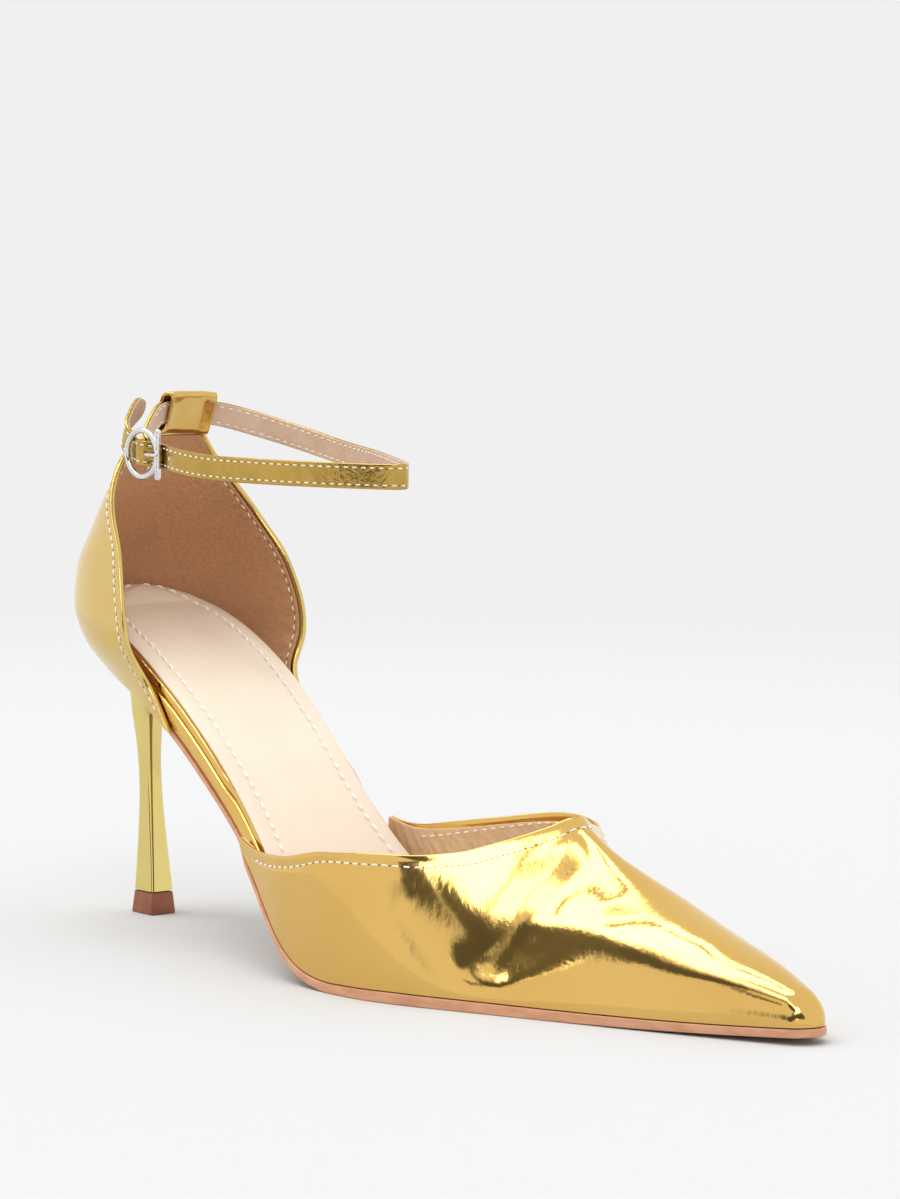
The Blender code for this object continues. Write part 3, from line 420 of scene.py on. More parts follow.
def ends(rows, cols):
    """Quads that close both ends of a tube whose rings are the grid's rows: each point of a
    ring is joined to its mirror point across the ring's fold."""
    half = np.arange(cols // 2 - 1)
    mirror = cols - 1 - half
    near = np.stack([half, half + 1, mirror - 1, mirror], -1)
    return np.concatenate([near, near[:, ::-1] + (rows - 1) * cols])


def closed(rows, cols):
    """Quads of a tube with both ends closed."""
    return np.concatenate([quads(rows, cols, wrap_cols=True), ends(rows, cols)])


def new_piece(name, points, faces, material, slot=None, replaces=None, sharp=50, body="root"):
    """An object from points and equal-sided faces, welded, turned outward and shaded smooth."""
    mesh = bpy.data.meshes.new(name)
    faces = np.asarray(faces)
    mesh.vertices.add(len(points))
    mesh.vertices.foreach_set("co", np.asarray(points, np.float32).ravel())
    mesh.loops.add(faces.size)
    mesh.loops.foreach_set("vertex_index", faces.astype(np.int32).ravel())
    mesh.polygons.add(len(faces))
    mesh.polygons.foreach_set("loop_start", np.arange(len(faces), dtype=np.int32) * faces.shape[1])
    mesh.update(calc_edges=True)
    shape = bmesh.new()
    shape.from_mesh(mesh)
    bmesh.ops.remove_doubles(shape, verts=shape.verts, dist=2e-7)
    bmesh.ops.dissolve_degenerate(shape, edges=shape.edges, dist=2e-7)
    bmesh.ops.recalc_face_normals(shape, faces=shape.faces)
    shape.to_mesh(mesh)
    shape.free()
    mesh.shade_smooth()
    mesh.set_sharp_from_angle(angle=math.radians(sharp))
    mesh.materials.append(material)
    made = bpy.data.objects.new(name, mesh)
    bpy.context.scene.collection.objects.link(made)
    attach(made, body)
    if replaces:
        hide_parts(replaces)
    return made


def tube(name, rings, material, **more):
    """A closed piece through rings of equal, even count, each ring folded symmetrically."""
    return new_piece(name, rings.reshape(-1, 3), closed(*rings.shape[:2]), material, **more)


def finish(name, colour, other, scale, rough, metal=0.0, stretch=(1, 1, 1), detail=3.0):
    """A material whose colour moves between two tones in clouds of about 1/scale metres."""
    made = bpy.data.materials.new(name)
    made.use_nodes = True
    tree = made.node_tree
    shader = tree.nodes["Principled BSDF"]
    shader.inputs["Roughness"].default_value = rough
    shader.inputs["Metallic"].default_value = metal
    cloud = pattern(made, scale, stretch, detail)
    mix = node(tree, "ShaderNodeMix", data_type="RGBA")
    mix.inputs["A"].default_value = (*colour, 1.0)
    mix.inputs["B"].default_value = (*other, 1.0)
    tree.links.new(cloud, mix.inputs["Factor"])
    tree.links.new(mix.outputs["Result"], shader.inputs["Base Color"])
    return made


def pattern(material, scale, stretch=(1, 1, 1), detail=3.0, low=0.35, high=0.65):
    """A cloudy pattern from 0 to 1 on the object's own coordinates, stretched along its axes."""
    tree = material.node_tree
    place = node(tree, "ShaderNodeTexCoord")
    sized = node(tree, "ShaderNodeMapping")
    sized.inputs["Scale"].default_value = stretch
    noise = node(tree, "ShaderNodeTexNoise")
    noise.inputs["Scale"].default_value = scale
    noise.inputs["Detail"].default_value = detail
    ranged = node(tree, "ShaderNodeMapRange")
    ranged.inputs["From Min"].default_value = low
    ranged.inputs["From Max"].default_value = high
    tree.links.new(place.outputs["Object"], sized.inputs["Vector"])
    tree.links.new(sized.outputs["Vector"], noise.inputs["Vector"])
    tree.links.new(noise.outputs["Fac"], ranged.inputs["Value"])
    return ranged.outputs["Result"]


def grain(material, height, depth):
    """Adds a bump of a depth in metres over whatever bump the material already has."""
    tree = material.node_tree
    shader = tree.nodes["Principled BSDF"]
    bump = node(tree, "ShaderNodeBump")
    bump.inputs["Distance"].default_value = depth
    tree.links.new(height, bump.inputs["Height"])
    if shader.inputs["Normal"].is_linked:
        tree.links.new(shader.inputs["Normal"].links[0].from_socket, bump.inputs["Normal"])
    tree.links.new(bump.outputs["Normal"], shader.inputs["Normal"])


def dressed(material, **values):
    """Sets constants straight on the shader's own sockets."""
    shader = material.node_tree.nodes["Principled BSDF"]
    for name, value in values.items():
        shader.inputs[name.replace("_", " ")].default_value = value
    return material


sole_x = stations(BREAST + GAP, TOE_REACH + SOLE_EDGE, 180, nose=NOSE_PLAN)
sole_low, sole_high = underside(sole_x), feather(sole_x)
covered = ease((sole_x - VAMP_BACK) / 0.008 + 0.5)
sole_reach = SOLE_EDGE + (VAMP_WALL + GAP) * covered
arc = np.radians(np.linspace(0, 90, 6))
sole_profile = []
for side in (-1, 1):
    half = [(side, -0.004 + 0 * sole_x, sole_low), (side, sole_reach - 0.002, sole_low)]
    for turn in arc:
        out = sole_reach - SOLE_ROUNDING * (1 - math.sin(turn))
        half.append((side, out, sole_low + SOLE_ROUNDING * (1 - math.cos(turn))))
    for turn in arc:
        out = sole_reach - SOLE_ROUNDING * 0.6 * (1 - math.cos(turn))
        half.append((side, out, sole_high - SOLE_ROUNDING * 0.6 * (1 - math.sin(turn))))
    half.append((side, sole_reach - 0.002, sole_high))
    sole_profile += half if side < 0 else half[::-1]
sole_edge_paint = finish(
    "peach painted sole edge",
    PEACH,
    PEACH_WORN,
    scale=160,
    rough=0.42,
    stretch=(1, 1, 3),
)
grain(sole_edge_paint, pattern(sole_edge_paint, scale=2600, stretch=(0.15, 0.15, 1.0)), depth=0.00003)
dressed(sole_edge_paint, Coat_Weight=0.15, Coat_Roughness=0.3)
sole_rings = slab(sole_x, sole_profile)
outsole = tube("outsole_leather", sole_rings, sole_edge_paint, slot="sole", replaces="outsole")
sole_leather = finish("tan sole leather", SOLE_TAN, SOLE_TAN_DEEP, scale=90, rough=0.62)
grain(sole_leather, pattern(sole_leather, scale=1500, stretch=(1, 1, 1), detail=2.0), depth=0.00005)
outsole.data.materials.append(sole_leather)
heights = np.empty(len(outsole.data.polygons) * 3)
outsole.data.polygons.foreach_get("normal", heights)
underneath = heights.reshape(-1, 3)[:, 2] < -0.75
outsole.data.polygons.foreach_set("material_index", underneath.astype(np.int32))

# Wrapped board. The stiff insole board and its filler, covered in the upper's gold leather.
# At the waist it shows as two layers with a dark step between them.
GOLD = (0.735, 0.472, 0.140)
GOLD_DEEP = (0.710, 0.446, 0.125)
BOARD_SUNK = 0.0009
# One side of the board from its foot up. height: share of its depth. inset: share of the ledge.
BOARD_SIDE = (
    (0.00, 0.0, 0.0005),
    (0.03, 0.0, 0.0002),
    (0.08, 0.0, 0.0000),
    (0.28, 0.0, -0.0001),
    (0.46, 0.0, 0.0000),
    (0.56, 0.10, 0.0001),
    (0.62, 0.45, 0.0001),
    (0.645, 1.00, 0.0000),
    (0.66, 1.05, 0.0004),
    (0.69, 1.00, 0.0000),
    (0.74, 0.96, -0.0002),
    (0.85, 0.98, -0.0001),
    (0.97, 1.00, 0.0001),
    (1.00, 1.00, 0.0006),
)
board_x = stations(-SEAT_BACK, TOE_REACH - NOSE_PLAN - VAMP_WALL - GAP, 170, heel=0.008)
board_low = feather(board_x) + GAP
board_depth = bottom["board"](board_x)
under_vamp = np.clip((board_x - VAMP_BACK + 0.012) / 0.004, 0, 1)
board_profile = []
for side in (-1, 1):
    ledge = bottom["inset_outer" if side < 0 else "inset_inner"](board_x) - 0.0007
    half = []
    for height, inset, back in BOARD_SIDE:
        drawn_in = ledge * inset + BOARD_SUNK * under_vamp * min(1, 2 * height)
        half.append((side, -drawn_in - back, board_low + height * board_depth))
    board_profile += half if side < 0 else half[::-1]
board_gold = finish("gold leather over the board", GOLD, GOLD_DEEP, scale=60, rough=0.13, metal=1.0)
grain(board_gold, pattern(board_gold, scale=700, stretch=(0.3, 0.3, 1.0)), depth=0.00002)
tube("wrapped_board", slab(board_x, board_profile), board_gold, slot="board wrap", replaces="insole_board")

# Sock. A beige synthetic leather pad cemented on the board, from the heel into the toe.
# A row of off-white stitches runs in a shallow groove 4.6 mm inside its edge.
SOCK_THICKNESS = 0.0012
SOCK_STITCH_IN = 0.0046
SOCK_GROOVE = 0.00022
SOCK_PITCH = 0.0034
SOCK_BEIGE = (0.860, 0.735, 0.590)
SOCK_ROSE = (0.810, 0.665, 0.525)
sock_x = stations(-SEAT_BACK, TOE_REACH - NOSE_PLAN - 0.0040, 190, heel=0.008)
sock_low = feather(sock_x) + GAP + bottom["board"](sock_x)
sock_high = sock_low + SOCK_THICKNESS


def sock_rise(into):
    """Height of the sock's face against its flat: soft swell, with a trough at the stitches."""
    trough = -SOCK_GROOVE * bell(into, SOCK_STITCH_IN, 0.0007)
    rounded = -0.0004 * bell(into, 0, 0.0007)
    return trough + rounded + 0.00012 * np.clip(into / 0.003, 0, 1)


def sock_line(side, into, lift):
    """A line along the sock, so far in from its edge and so far above its face."""
    inset = bottom["inset_outer" if side < 0 else "inset_inner"](sock_x)
    return (side, -inset - into, sock_high + lift)


sock_profile = []
across_sock = (0.0, 0.0002, 0.0005, 0.001, 0.002, 0.003, 0.0036, 0.0040, 0.0043, 0.0046, 0.0049)
across_sock += (0.0052, 0.0056, 0.0065, 0.008)
for side in (-1, 1):
    half = [sock_line(side, 0.0001, -SOCK_THICKNESS + 0.0001), sock_line(side, 0.0, -0.6 * SOCK_THICKNESS)]
    half += [sock_line(side, into, sock_rise(into)) for into in across_sock]
    sock_profile += half if side < 0 else half[::-1]
sock_leather = finish("beige sock leather", SOCK_BEIGE, SOCK_ROSE, scale=28, rough=0.46, detail=2.0)
grain(sock_leather, pattern(sock_leather, scale=2400, detail=4.0), depth=0.00003)
grain(sock_leather, pattern(sock_leather, scale=120, detail=2.0), depth=0.00012)
tube("sock", slab(sock_x, sock_profile), sock_leather, slot="sock", replaces="insole")

THREAD = (0.960, 0.930, 0.870)
THREAD_SHADE = (0.900, 0.850, 0.770)
# The two needle-hole tones below are painted shade: the dark dish at each needle hole stands in for the
# shade inside the hole.
PAINTED_HOLE_SHADE = (0.060, 0.030, 0.014)
PAINTED_HOLE_SHADE_DEEP = (0.030, 0.015, 0.008)
HOLE_LIFT = 0.00003
SOCK_SHADE = (0.450, 0.330, 0.240)
SOCK_SHADE_DEEP = (0.380, 0.270, 0.190)


def along_path(path, outward, places):
    """Points, tangents and outward directions at distances along a path on a surface."""
    run = run_along(path)
    point = np.stack([np.interp(places, run, path[:, k]) for k in range(3)], -1)
    out = np.stack([np.interp(places, run, outward[:, k]) for k in range(3)], -1)
    ahead = np.stack([np.interp(places + 1e-4, run, path[:, k]) for k in range(3)], -1) - point
    back = point - np.stack([np.interp(places - 1e-4, run, path[:, k]) for k in range(3)], -1)
    tangent = unit(ahead + back)
    return point, tangent, unit(out - (out * tangent).sum(-1, keepdims=True) * tangent)


def stitches(name, path, outward, material, pitch, length, radius, slot, lift=0.4):
    """A row of sewn stitches: each is a six-sided bar of seven rings along the path, thick in
    its middle and dipping into the leather at both ends."""
    total = np.linalg.norm(np.diff(path, axis=0), axis=1).sum()
    count = int((total - pitch) / pitch)
    middle = (np.arange(count) + 0.75) * pitch
    share = np.linspace(-1, 1, 7)
    places = middle[:, None] + share[None] * length / 2
    point, tangent, out = along_path(path, outward, places)
    side = np.cross(tangent, out)
    thick = radius * np.sqrt(np.clip(1 - share**4, 0.02, 1))
    rise = radius * (lift - 1.2 * share**4)
    turn = np.arange(6) * math.pi / 3
    centre = point + out * rise[None, :, None]
    ring = (
        side[:, :, None] * np.cos(turn)[None, None, :, None]
        + out[:, :, None] * np.sin(turn)[None, None, :, None]
    )
    points = centre[:, :, None] + ring * thick[None, :, None, None]
    faces = closed(7, 6)[None] + (np.arange(count) * 42)[:, None, None]
    return new_piece(name, points.reshape(-1, 3), faces.reshape(-1, 4), material, slot=slot)


def needle_holes(name, path, outward, material, pitch, radius, slot):
    """A row of needle holes: each is a low eight-sided dish between two stitches."""
    total = np.linalg.norm(np.diff(path, axis=0), axis=1).sum()
    count = int((total - pitch) / pitch)
    point, tangent, out = along_path(path, outward, (np.arange(count) + 0.25) * pitch)
    side = np.cross(tangent, out)
    turn = np.arange(8) * math.pi / 4
    reach = radius * np.array([1.0, 0.72, 0.30])
    level = HOLE_LIFT * np.array([-2.0, 1.0, 1.3])
    flat = (
        tangent[:, None, None] * np.cos(turn)[None, None, :, None]
        + side[:, None, None] * np.sin(turn)[None, None, :, None]
    )
    points = point[:, None, None] + flat * reach[None, :, None, None]
    points = points + out[:, None, None] * level[None, :, None, None]
    faces = closed(3, 8)[None] + (np.arange(count) * 24)[:, None, None]
    return new_piece(name, points.reshape(-1, 3), faces.reshape(-1, 4), material, slot=slot)


white_thread = finish("off-white thread", THREAD, THREAD_SHADE, scale=1800, rough=0.6, detail=1.0)
grain(white_thread, pattern(white_thread, scale=5000, stretch=(1, 1, 1), detail=1.0), depth=0.00001)
# Painted shade: the needle holes' dark dishes carry the shade of the holes as their colour.
painted_shade_hole = finish("painted shade of a needle hole", PAINTED_HOLE_SHADE, PAINTED_HOLE_SHADE_DEEP, scale=800, rough=0.8)
sock_hole = finish("shaded hole in the sock", SOCK_SHADE, SOCK_SHADE_DEEP, scale=800, rough=0.7)
for side, label in ((-1, "outer"), (1, "inner")):
    _, grow, height = sock_line(side, SOCK_STITCH_IN, sock_rise(SOCK_STITCH_IN))
    path = slab(sock_x, [(side, grow, height)])[:, 0]
    upright = np.tile([0.0, 0.0, 1.0], (len(path), 1))
    sewn = {"pitch": SOCK_PITCH, "slot": "sock"}
    thread = {"length": 0.0024, "radius": 0.00036, "lift": 0.8}
    stitches(f"sock_stitches_{label}", path, upright, white_thread, **thread, **sewn)
    needle_holes(f"sock_holes_{label}", path, upright, sock_hole, radius=0.00013, **sewn)

# Vamp leather. Thin mirror-gold leather, lasted over the toe and folded in at its topline.
# The fold is a soft bead with a row of stitches 3.1 mm below it.
THROAT = 0.1550
VAMP_HEIGHT = 0.0420
LEATHER = 0.0007
LAST_COLUMNS = ("along", "ridge", "side", "fullness", "bulge")
LAST = (
    (0.302, 2.10, 0.061, 0.050, 0.8),
    (0.432, 1.86, 0.076, 0.050, 1.2),
    (0.553, 1.50, 0.088, 0.030, 1.5),
    (0.626, 1.20, 0.097, -0.080, 1.5),
    (0.678, 0.945, 0.106, -0.170, 1.4),
    (0.726, 0.792, 0.118, -0.140, 1.3),
    (0.786, 0.662, 0.133, -0.075, 1.1),
    (0.864, 0.498, 0.148, -0.030, 0.9),
    (0.929, 0.381, 0.158, 0.000, 0.6),
    (1.000, 0.226, 0.162, 0.000, 0.3),
)
TOPLINE_COLUMNS = ("along", "outer", "inner")
TOPLINE = (
    (0.000, 0.020, 0.030),
    (0.100, 0.062, 0.078),
    (0.200, 0.113, 0.137),
    (0.330, 0.172, 0.202),
    (0.450, 0.216, 0.245),
    (0.580, 0.256, 0.296),
    (0.700, 0.326, 0.366),
    (0.770, 0.392, 0.430),
    (0.820, 0.460, 0.495),
    (0.860, 0.528, 0.560),
    (0.890, 0.594, 0.622),
    (0.920, 0.663, 0.685),
    (0.955, 0.755, 0.768),
    (0.982, 0.865, 0.872),
    (1.000, 1.000, 1.000),
)
# Creases pressed and drawn in, in the shoe's own sizes: soft troughs and ridges.
# Each is a stroke between two places near the skin, in mm from the heel tip: along, across and
# up of its two ends, then how wide and how deep it is in mm. A minus depth is a ridge.
CREASES = (
    (147.1, -15.3, 18.9, 191.3, -4.4, 21.7, 9.1, -0.53),
    (151.5, -1.7, 34.6, 161.1, -11.5, 20.2, 5.7, -0.24),
    (162.2, -8.0, 20.3, 198.5, 4.8, 19.8, 5.6, -0.30),
    (138.7, -28.9, 24.2, 159.9, -20.5, 9.1, 4.5, 0.22),
    (142.4, -21.0, 31.1, 141.5, -14.4, 23.5, 6.3, 0.15),
    (176.5, -0.3, 24.9, 192.0, 2.9, 18.4, 4.5, 0.25),
    (137.7, -19.7, 30.7, 156.7, -19.4, 22.2, 4.5, 0.07),
    (177.9, -5.1, 18.2, 201.8, -1.8, 7.0, 10.7, 0.20),
)
last = curves(
    LAST,
    LAST_COLUMNS,
    {"along": TOE_REACH, "ridge": VAMP_HEIGHT, "side": BALL_WIDTH, "bulge": 0.001},
)
topline = curves(
    TOPLINE,
    TOPLINE_COLUMNS,
    {"along": THROAT - VAMP_BACK, "outer": math.pi / 2, "inner": math.pi / 2},
)


def last_point(x, angle):
    """The vamp's outside at x, at an angle from 0 (outer foot) over the ridge to pi: a squared
    half round between the sole's edges, leaning to the ridge's place and swelling at its foot."""
    x, angle = np.broadcast_arrays(np.asarray(x, float), np.asarray(angle, float))
    grow = VAMP_WALL + GAP
    outer = bottom["outer"](x) + grow
    inner = bottom["inner"](x) + grow
    middle = (inner - outer) / 2
    half = (inner + outer) / 2 * toe_round(x, NOSE_PLAN)
    foot = feather(x) + GAP
    rise = (last["ridge"](x) - foot) * toe_round(x, NOSE_SIDE)
    along, up = swing(angle, last["fullness"](x))
    lean = (last["side"](x) - middle) * np.sin(angle) ** 2
    bulge = last["bulge"](x) * toe_round(x, NOSE_PLAN) * np.sin(2 * angle)
    return np.stack([x, middle - half * along + lean - bulge, foot + rise * up], -1)


def normals(surface, first, second, step=(1e-5, 1e-4)):
    """Unit normals of a surface of two parameters: the cross product of small steps each way."""
    one = surface(first + step[0], second) - surface(first - step[0], second)
    two = surface(first, second + step[1]) - surface(first, second - step[1])
    return unit(np.cross(one, two))


def vamp_lines(rows, cols):
    """Places and angles of a grid from the topline (first row) to the foot and the toe: each
    column is a straight run of both from its point on the topline to its point on the foot."""
    share = 1 - (1 - np.linspace(0, 1, 400)) ** 2.2
    x = VAMP_BACK + (THROAT - VAMP_BACK) * share
    outer = topline["outer"](x - VAMP_BACK)
    inner = math.pi - topline["inner"](x - VAMP_BACK)
    rim_x = np.concatenate([x, x[-2::-1]])
    rim_angle = np.concatenate([outer, inner[-2::-1]])
    run = run_along(last_point(rim_x, rim_angle))
    place = np.linspace(0, run[-1], cols)
    top_x = np.interp(place, run, rim_x)
    top_angle = np.interp(place, run, rim_angle)
    across = np.linspace(0, 1, cols)
    fan = 0.10
    to_toe = np.clip(np.minimum(across, 1 - across) / (0.5 - fan), 0, 1)
    foot_x = VAMP_BACK + (TOE_REACH - VAMP_BACK) * (1 - (1 - to_toe) ** 1.7)
    foot_angle = np.interp(across, [0, 0.5 - fan, 0.5 + fan, 1], [0, 0, math.pi, math.pi])
    down = 1 - (1 - np.linspace(0, 1, rows)[:, None]) ** 1.8
    return top_x + (foot_x - top_x) * down, top_angle + (foot_angle - top_angle) * down


def creased(points):
    """Depth pressed into the vamp: a sum of long soft troughs, each a bell of the distance from
    its stroke."""
    depth = np.zeros(points.shape[:-1])
    for *places, wide, deep in CREASES:
        start, end = np.array(places[:3]) / 1000, np.array(places[3:]) / 1000
        chord = end - start
        along = np.clip((points - start) @ chord / (chord @ chord), 0, 1)
        away = np.linalg.norm(points - start - along[..., None] * chord, axis=-1)
        depth += deep / 1000 * bell(away, 0, wide / 1000)
    return depth


def half_round(outer, inner, before):
    """Six rows on the half round from an outer edge over to an inner one: it swells away from
    the row before the outer edge, square to the line between the two edges."""
    half = (outer - inner) / 2
    line = unit(half)
    beyond = unit(outer - before)
    beyond = unit(beyond - (beyond * line).sum(-1, keepdims=True) * line)
    turn = np.linspace(0, math.pi, 8)[1:-1, None, None]
    size = np.linalg.norm(half, axis=-1, keepdims=True)
    return (outer + inner) / 2 + half * np.cos(turn) + beyond * size * np.sin(turn)


def skin(name, outside, inside, material, **more):
    """A sheet piece of two grids: up the outside, over a half round at the rim (their first
    rows) and down the inside, joined at the foot, with closed ends."""
    bead = half_round(outside[0], inside[0], outside[1])
    grid = np.concatenate([outside[::-1], bead, inside])
    return tube(name, grid.transpose(1, 0, 2), material, **more)


STITCH_IN = 0.0031
VAMP_PITCH = 0.0026
vamp_x, vamp_angle = vamp_lines(120, 301)
nudged = np.minimum(vamp_x, TOE_REACH - NOSE_PLAN / 3)
vamp_out = normals(last_point, nudged, vamp_angle)
vamp_flat = last_point(vamp_x, vamp_angle)
if ((vamp_flat - vamp_flat.mean((0, 1))) * vamp_out).sum() < 0:
    vamp_out = -vamp_out
into = run_along(vamp_flat)
foot_fade = np.clip((vamp_flat[..., 2] - feather(vamp_x) - GAP) / 0.006, 0, 1)
seam_dip = 0.00016 * bell(into, STITCH_IN, 0.0007)
bead_swell = 0.00010 * bell(into, 0.0008, 0.0010)
vamp_skin = vamp_flat + vamp_out * (bead_swell - seam_dip - creased(vamp_flat) * foot_fade)[..., None]
vamp_back = vamp_flat - vamp_out * LEATHER
floor_line = vamp_flat[-1:, :, 2]
vamp_back[..., 2] = np.maximum(vamp_back[..., 2], floor_line)
mirror_gold = finish("mirror gold leather", GOLD, GOLD_DEEP, scale=40, rough=0.085, metal=1.0)
grain(mirror_gold, pattern(mirror_gold, scale=520, stretch=(1.6, 1.6, 0.35), detail=2.0), depth=0.000006)
skin("vamp_leather", vamp_skin, vamp_back, mirror_gold, slot="vamp leather", replaces="upper_vamp")


def at_depth(values, into, depth):
    """Values of a grid where each column is a given depth from its rim, between two rows."""
    row = np.argmax(into >= depth, axis=0)
    row = np.clip(row, 1, len(into) - 1)
    cols = np.arange(into.shape[1])
    low, high = into[row - 1, cols], into[row, cols]
    share = np.clip((depth - low) / np.maximum(high - low, 1e-9), 0, 1)[:, None]
    return values[row - 1, cols] * (1 - share) + values[row, cols] * share


seam = slice(9, -9)
seam_path = at_depth(vamp_skin, into, STITCH_IN)[seam]
seam_out = at_depth(vamp_out, into, STITCH_IN)[seam]
vamp_sewn = {"pitch": VAMP_PITCH, "slot": "vamp leather"}
vamp_thread = {"length": 0.0017, "radius": 0.00022, "lift": 0.5}
stitches("topline_stitches", seam_path, seam_out, white_thread, **vamp_thread, **vamp_sewn)
needle_holes("topline_holes", seam_path, seam_out, painted_shade_hole, radius=0.00026, **vamp_sewn)

# Vamp lining. Tan suede cemented inside the vamp and sewn in at the topline.
# It is drawn round the curve of the throat, so it lies in fine pleats below the seam.
LINING_TAN = (0.520, 0.268, 0.132)
LINING_PALE = (0.600, 0.330, 0.170)
PALE_SUEDE = (0.700, 0.470, 0.270)
PALE_SUEDE_LIGHT = (0.760, 0.530, 0.320)
PLEAT = 0.00016
lining_start = 2
lining_out = vamp_out[lining_start:]
lining_flat = vamp_flat[lining_start:]
along_rim = np.linspace(0, 190, vamp_x.shape[1])[None]
pleats = np.sin(along_rim * 2 * math.pi / 2.3 + 1.3 * np.sin(along_rim * 0.9))
pleats = pleats * bell(into[lining_start:], 0.006, 0.008)
lining_face = lining_flat - lining_out * (VAMP_WALL - PLEAT * pleats)[..., None]
lining_back = lining_flat - lining_out * (LEATHER + 0.00002)
for sheet in (lining_face, lining_back):
    sheet[..., 2] = np.maximum(sheet[..., 2], lining_flat[-1:, :, 2])
suede = finish("tan suede lining", LINING_TAN, LINING_PALE, scale=1400, rough=0.85, detail=5.0)
grain(suede, pattern(suede, scale=3200, detail=5.0, low=0.2, high=0.8), depth=0.00014)
dressed(suede, Sheen_Weight=0.15, Sheen_Roughness=0.4, Specular_IOR_Level=0.15)
dressed(suede, Sheen_Tint=(0.9, 0.65, 0.45, 1.0))
pale_suede = finish("pale suede vamp lining", PALE_SUEDE, PALE_SUEDE_LIGHT, scale=700, rough=0.8, detail=4.0)
grain(pale_suede, pattern(pale_suede, scale=2600, detail=5.0, low=0.2, high=0.8), depth=0.0001)
dressed(pale_suede, Sheen_Weight=0.3, Sheen_Roughness=0.4, Specular_IOR_Level=0.2)
skin("vamp_lining", lining_back, lining_face, pale_suede, slot="vamp leather")
lining_seam = at_depth(lining_face, into[lining_start:], STITCH_IN)[seam]
lining_seam_out = -at_depth(lining_out, into[lining_start:], STITCH_IN)[seam]
stitches(
    "topline_lining_stitches",
    lining_seam,
    lining_seam_out,
    white_thread,
    length=0.0015,
    radius=0.00020,
    **vamp_sewn,
)

# Counter leather. The gold back of the upper, wrapped round the heel and narrowed to a tab.
# Its front edges are folded in over a cord and sewn down 3.1 mm behind the fold.
COUNTER_HEIGHT = 0.0543
CUP_DEPTH = 0.0498
TAB_WIDTH = 0.0160
CUP_COLUMNS = ("height", "back", "front", "outer", "inner", "turn", "fullness")
CUP = (
    (-0.20, 0.000, 1.000, 1.00, 1.00, 90, 0.045),
    (-0.09, 0.000, 0.905, 1.10, 1.12, 90, 0.042),
    (0.02, 0.000, 0.850, 1.22, 1.34, 90, 0.030),
    (0.13, 0.000, 0.834, 1.32, 1.47, 90, 0.020),
    (0.24, 0.000, 0.804, 1.32, 1.50, 90, 0.020),
    (0.35, 0.004, 0.757, 1.25, 1.46, 90, 0.020),
    (0.46, 0.034, 0.697, 1.14, 1.36, 89, 0.020),
    (0.55, 0.092, 0.625, 1.02, 1.24, 86, 0.020),
    (0.64, 0.160, 0.554, 0.93, 1.10, 79, 0.020),
    (0.73, 0.236, 0.500, 0.83, 0.90, 68, 0.020),
    (0.83, 0.314, 0.462, 0.66, 0.60, 55, 0.020),
    (0.92, 0.387, 0.456, 0.45, 0.32, 38, 0.020),
    (1.00, 0.466, 0.490, 0.14, 0.00, 22, 0.020),
)
cup = curves(
    CUP,
    CUP_COLUMNS,
    {
        "height": COUNTER_HEIGHT,
        "back": CUP_DEPTH,
        "front": CUP_DEPTH,
        "turn": math.pi / 180,
    },
)


def cup_point(across, height):
    """The surface that the counter is wrapped on: a half round between its front edges at each
    height, which takes the seat's outline at its foot. across runs from -1, the outer front
    edge, round the back to +1."""
    across, height = np.broadcast_arrays(np.asarray(across, float), np.asarray(height, float))
    share = np.abs(across)
    back = cup["back"](height) - SEAT_BACK
    front = cup["front"](height) - SEAT_BACK
    turn = cup["turn"](height)
    fullness = cup["fullness"](height)
    cos_end, sin_end = swing(turn, fullness)
    cos_now, sin_now = swing(turn * share, fullness)
    x = back + (front - back) * (1 - cos_now) / (1 - cos_end)
    tab = TAB_WIDTH / 2 - COUNTER_WALL
    half_outer = tab + (bottom["outer"](SEAT_FRONT) - tab) * cup["outer"](height)
    half_inner = tab + (bottom["inner"](SEAT_FRONT) - tab) * cup["inner"](height)
    round_part = np.where(across < 0, half_outer, half_inner) * sin_now / sin_end
    seat_part = np.where(across < 0, -edge(x, -1), edge(x, 1))
    low = CUP[0][0] * COUNTER_HEIGHT
    blend = ease((height - low) / (-1.6 * low))
    y = np.sign(across) * (seat_part + (round_part - seat_part) * blend)
    z = HEEL_HEIGHT + WAIST_SOLE + height
    x, y = tuck(x, y, z - feather(x))
    return np.stack([x, y, z], -1)


def cup_lines(rows, cols):
    """Parameters of the counter's grid: heights by row from its foot, across by column."""
    across = np.linspace(-1, 1, cols)
    across = np.sign(across) * (1 - (1 - np.abs(across)) ** 1.25)
    seat = HEEL_HEIGHT + WAIST_SOLE
    foot = np.zeros(cols)
    for _ in range(60):
        foot = feather(cup_point(across, foot)[:, 0]) + GAP - seat
    up = np.linspace(0, 1, rows)[:, None]
    height = foot[None] + (COUNTER_HEIGHT - foot[None]) * up
    return np.broadcast_to(across[None], height.shape), height


def edge_distance(grid):
    """Distance of each grid point along its row from the nearer end of the row."""
    run = run_along(grid.transpose(1, 0, 2)).T
    return np.minimum(run, run[:, -1:] - run)


def hoop(outside, inside):
    """Closed rings from two grids: along the outside, round a half round at one front edge,
    back along the inside and round the other."""
    beads = [
        half_round(outside[:, edge_col], inside[:, edge_col], outside[:, next_col]).transpose(1, 0, 2)
        for edge_col, next_col in ((-1, -2), (0, 1))
    ]
    return np.concatenate([outside, beads[0], inside[:, ::-1], beads[1][:, ::-1]], axis=1)


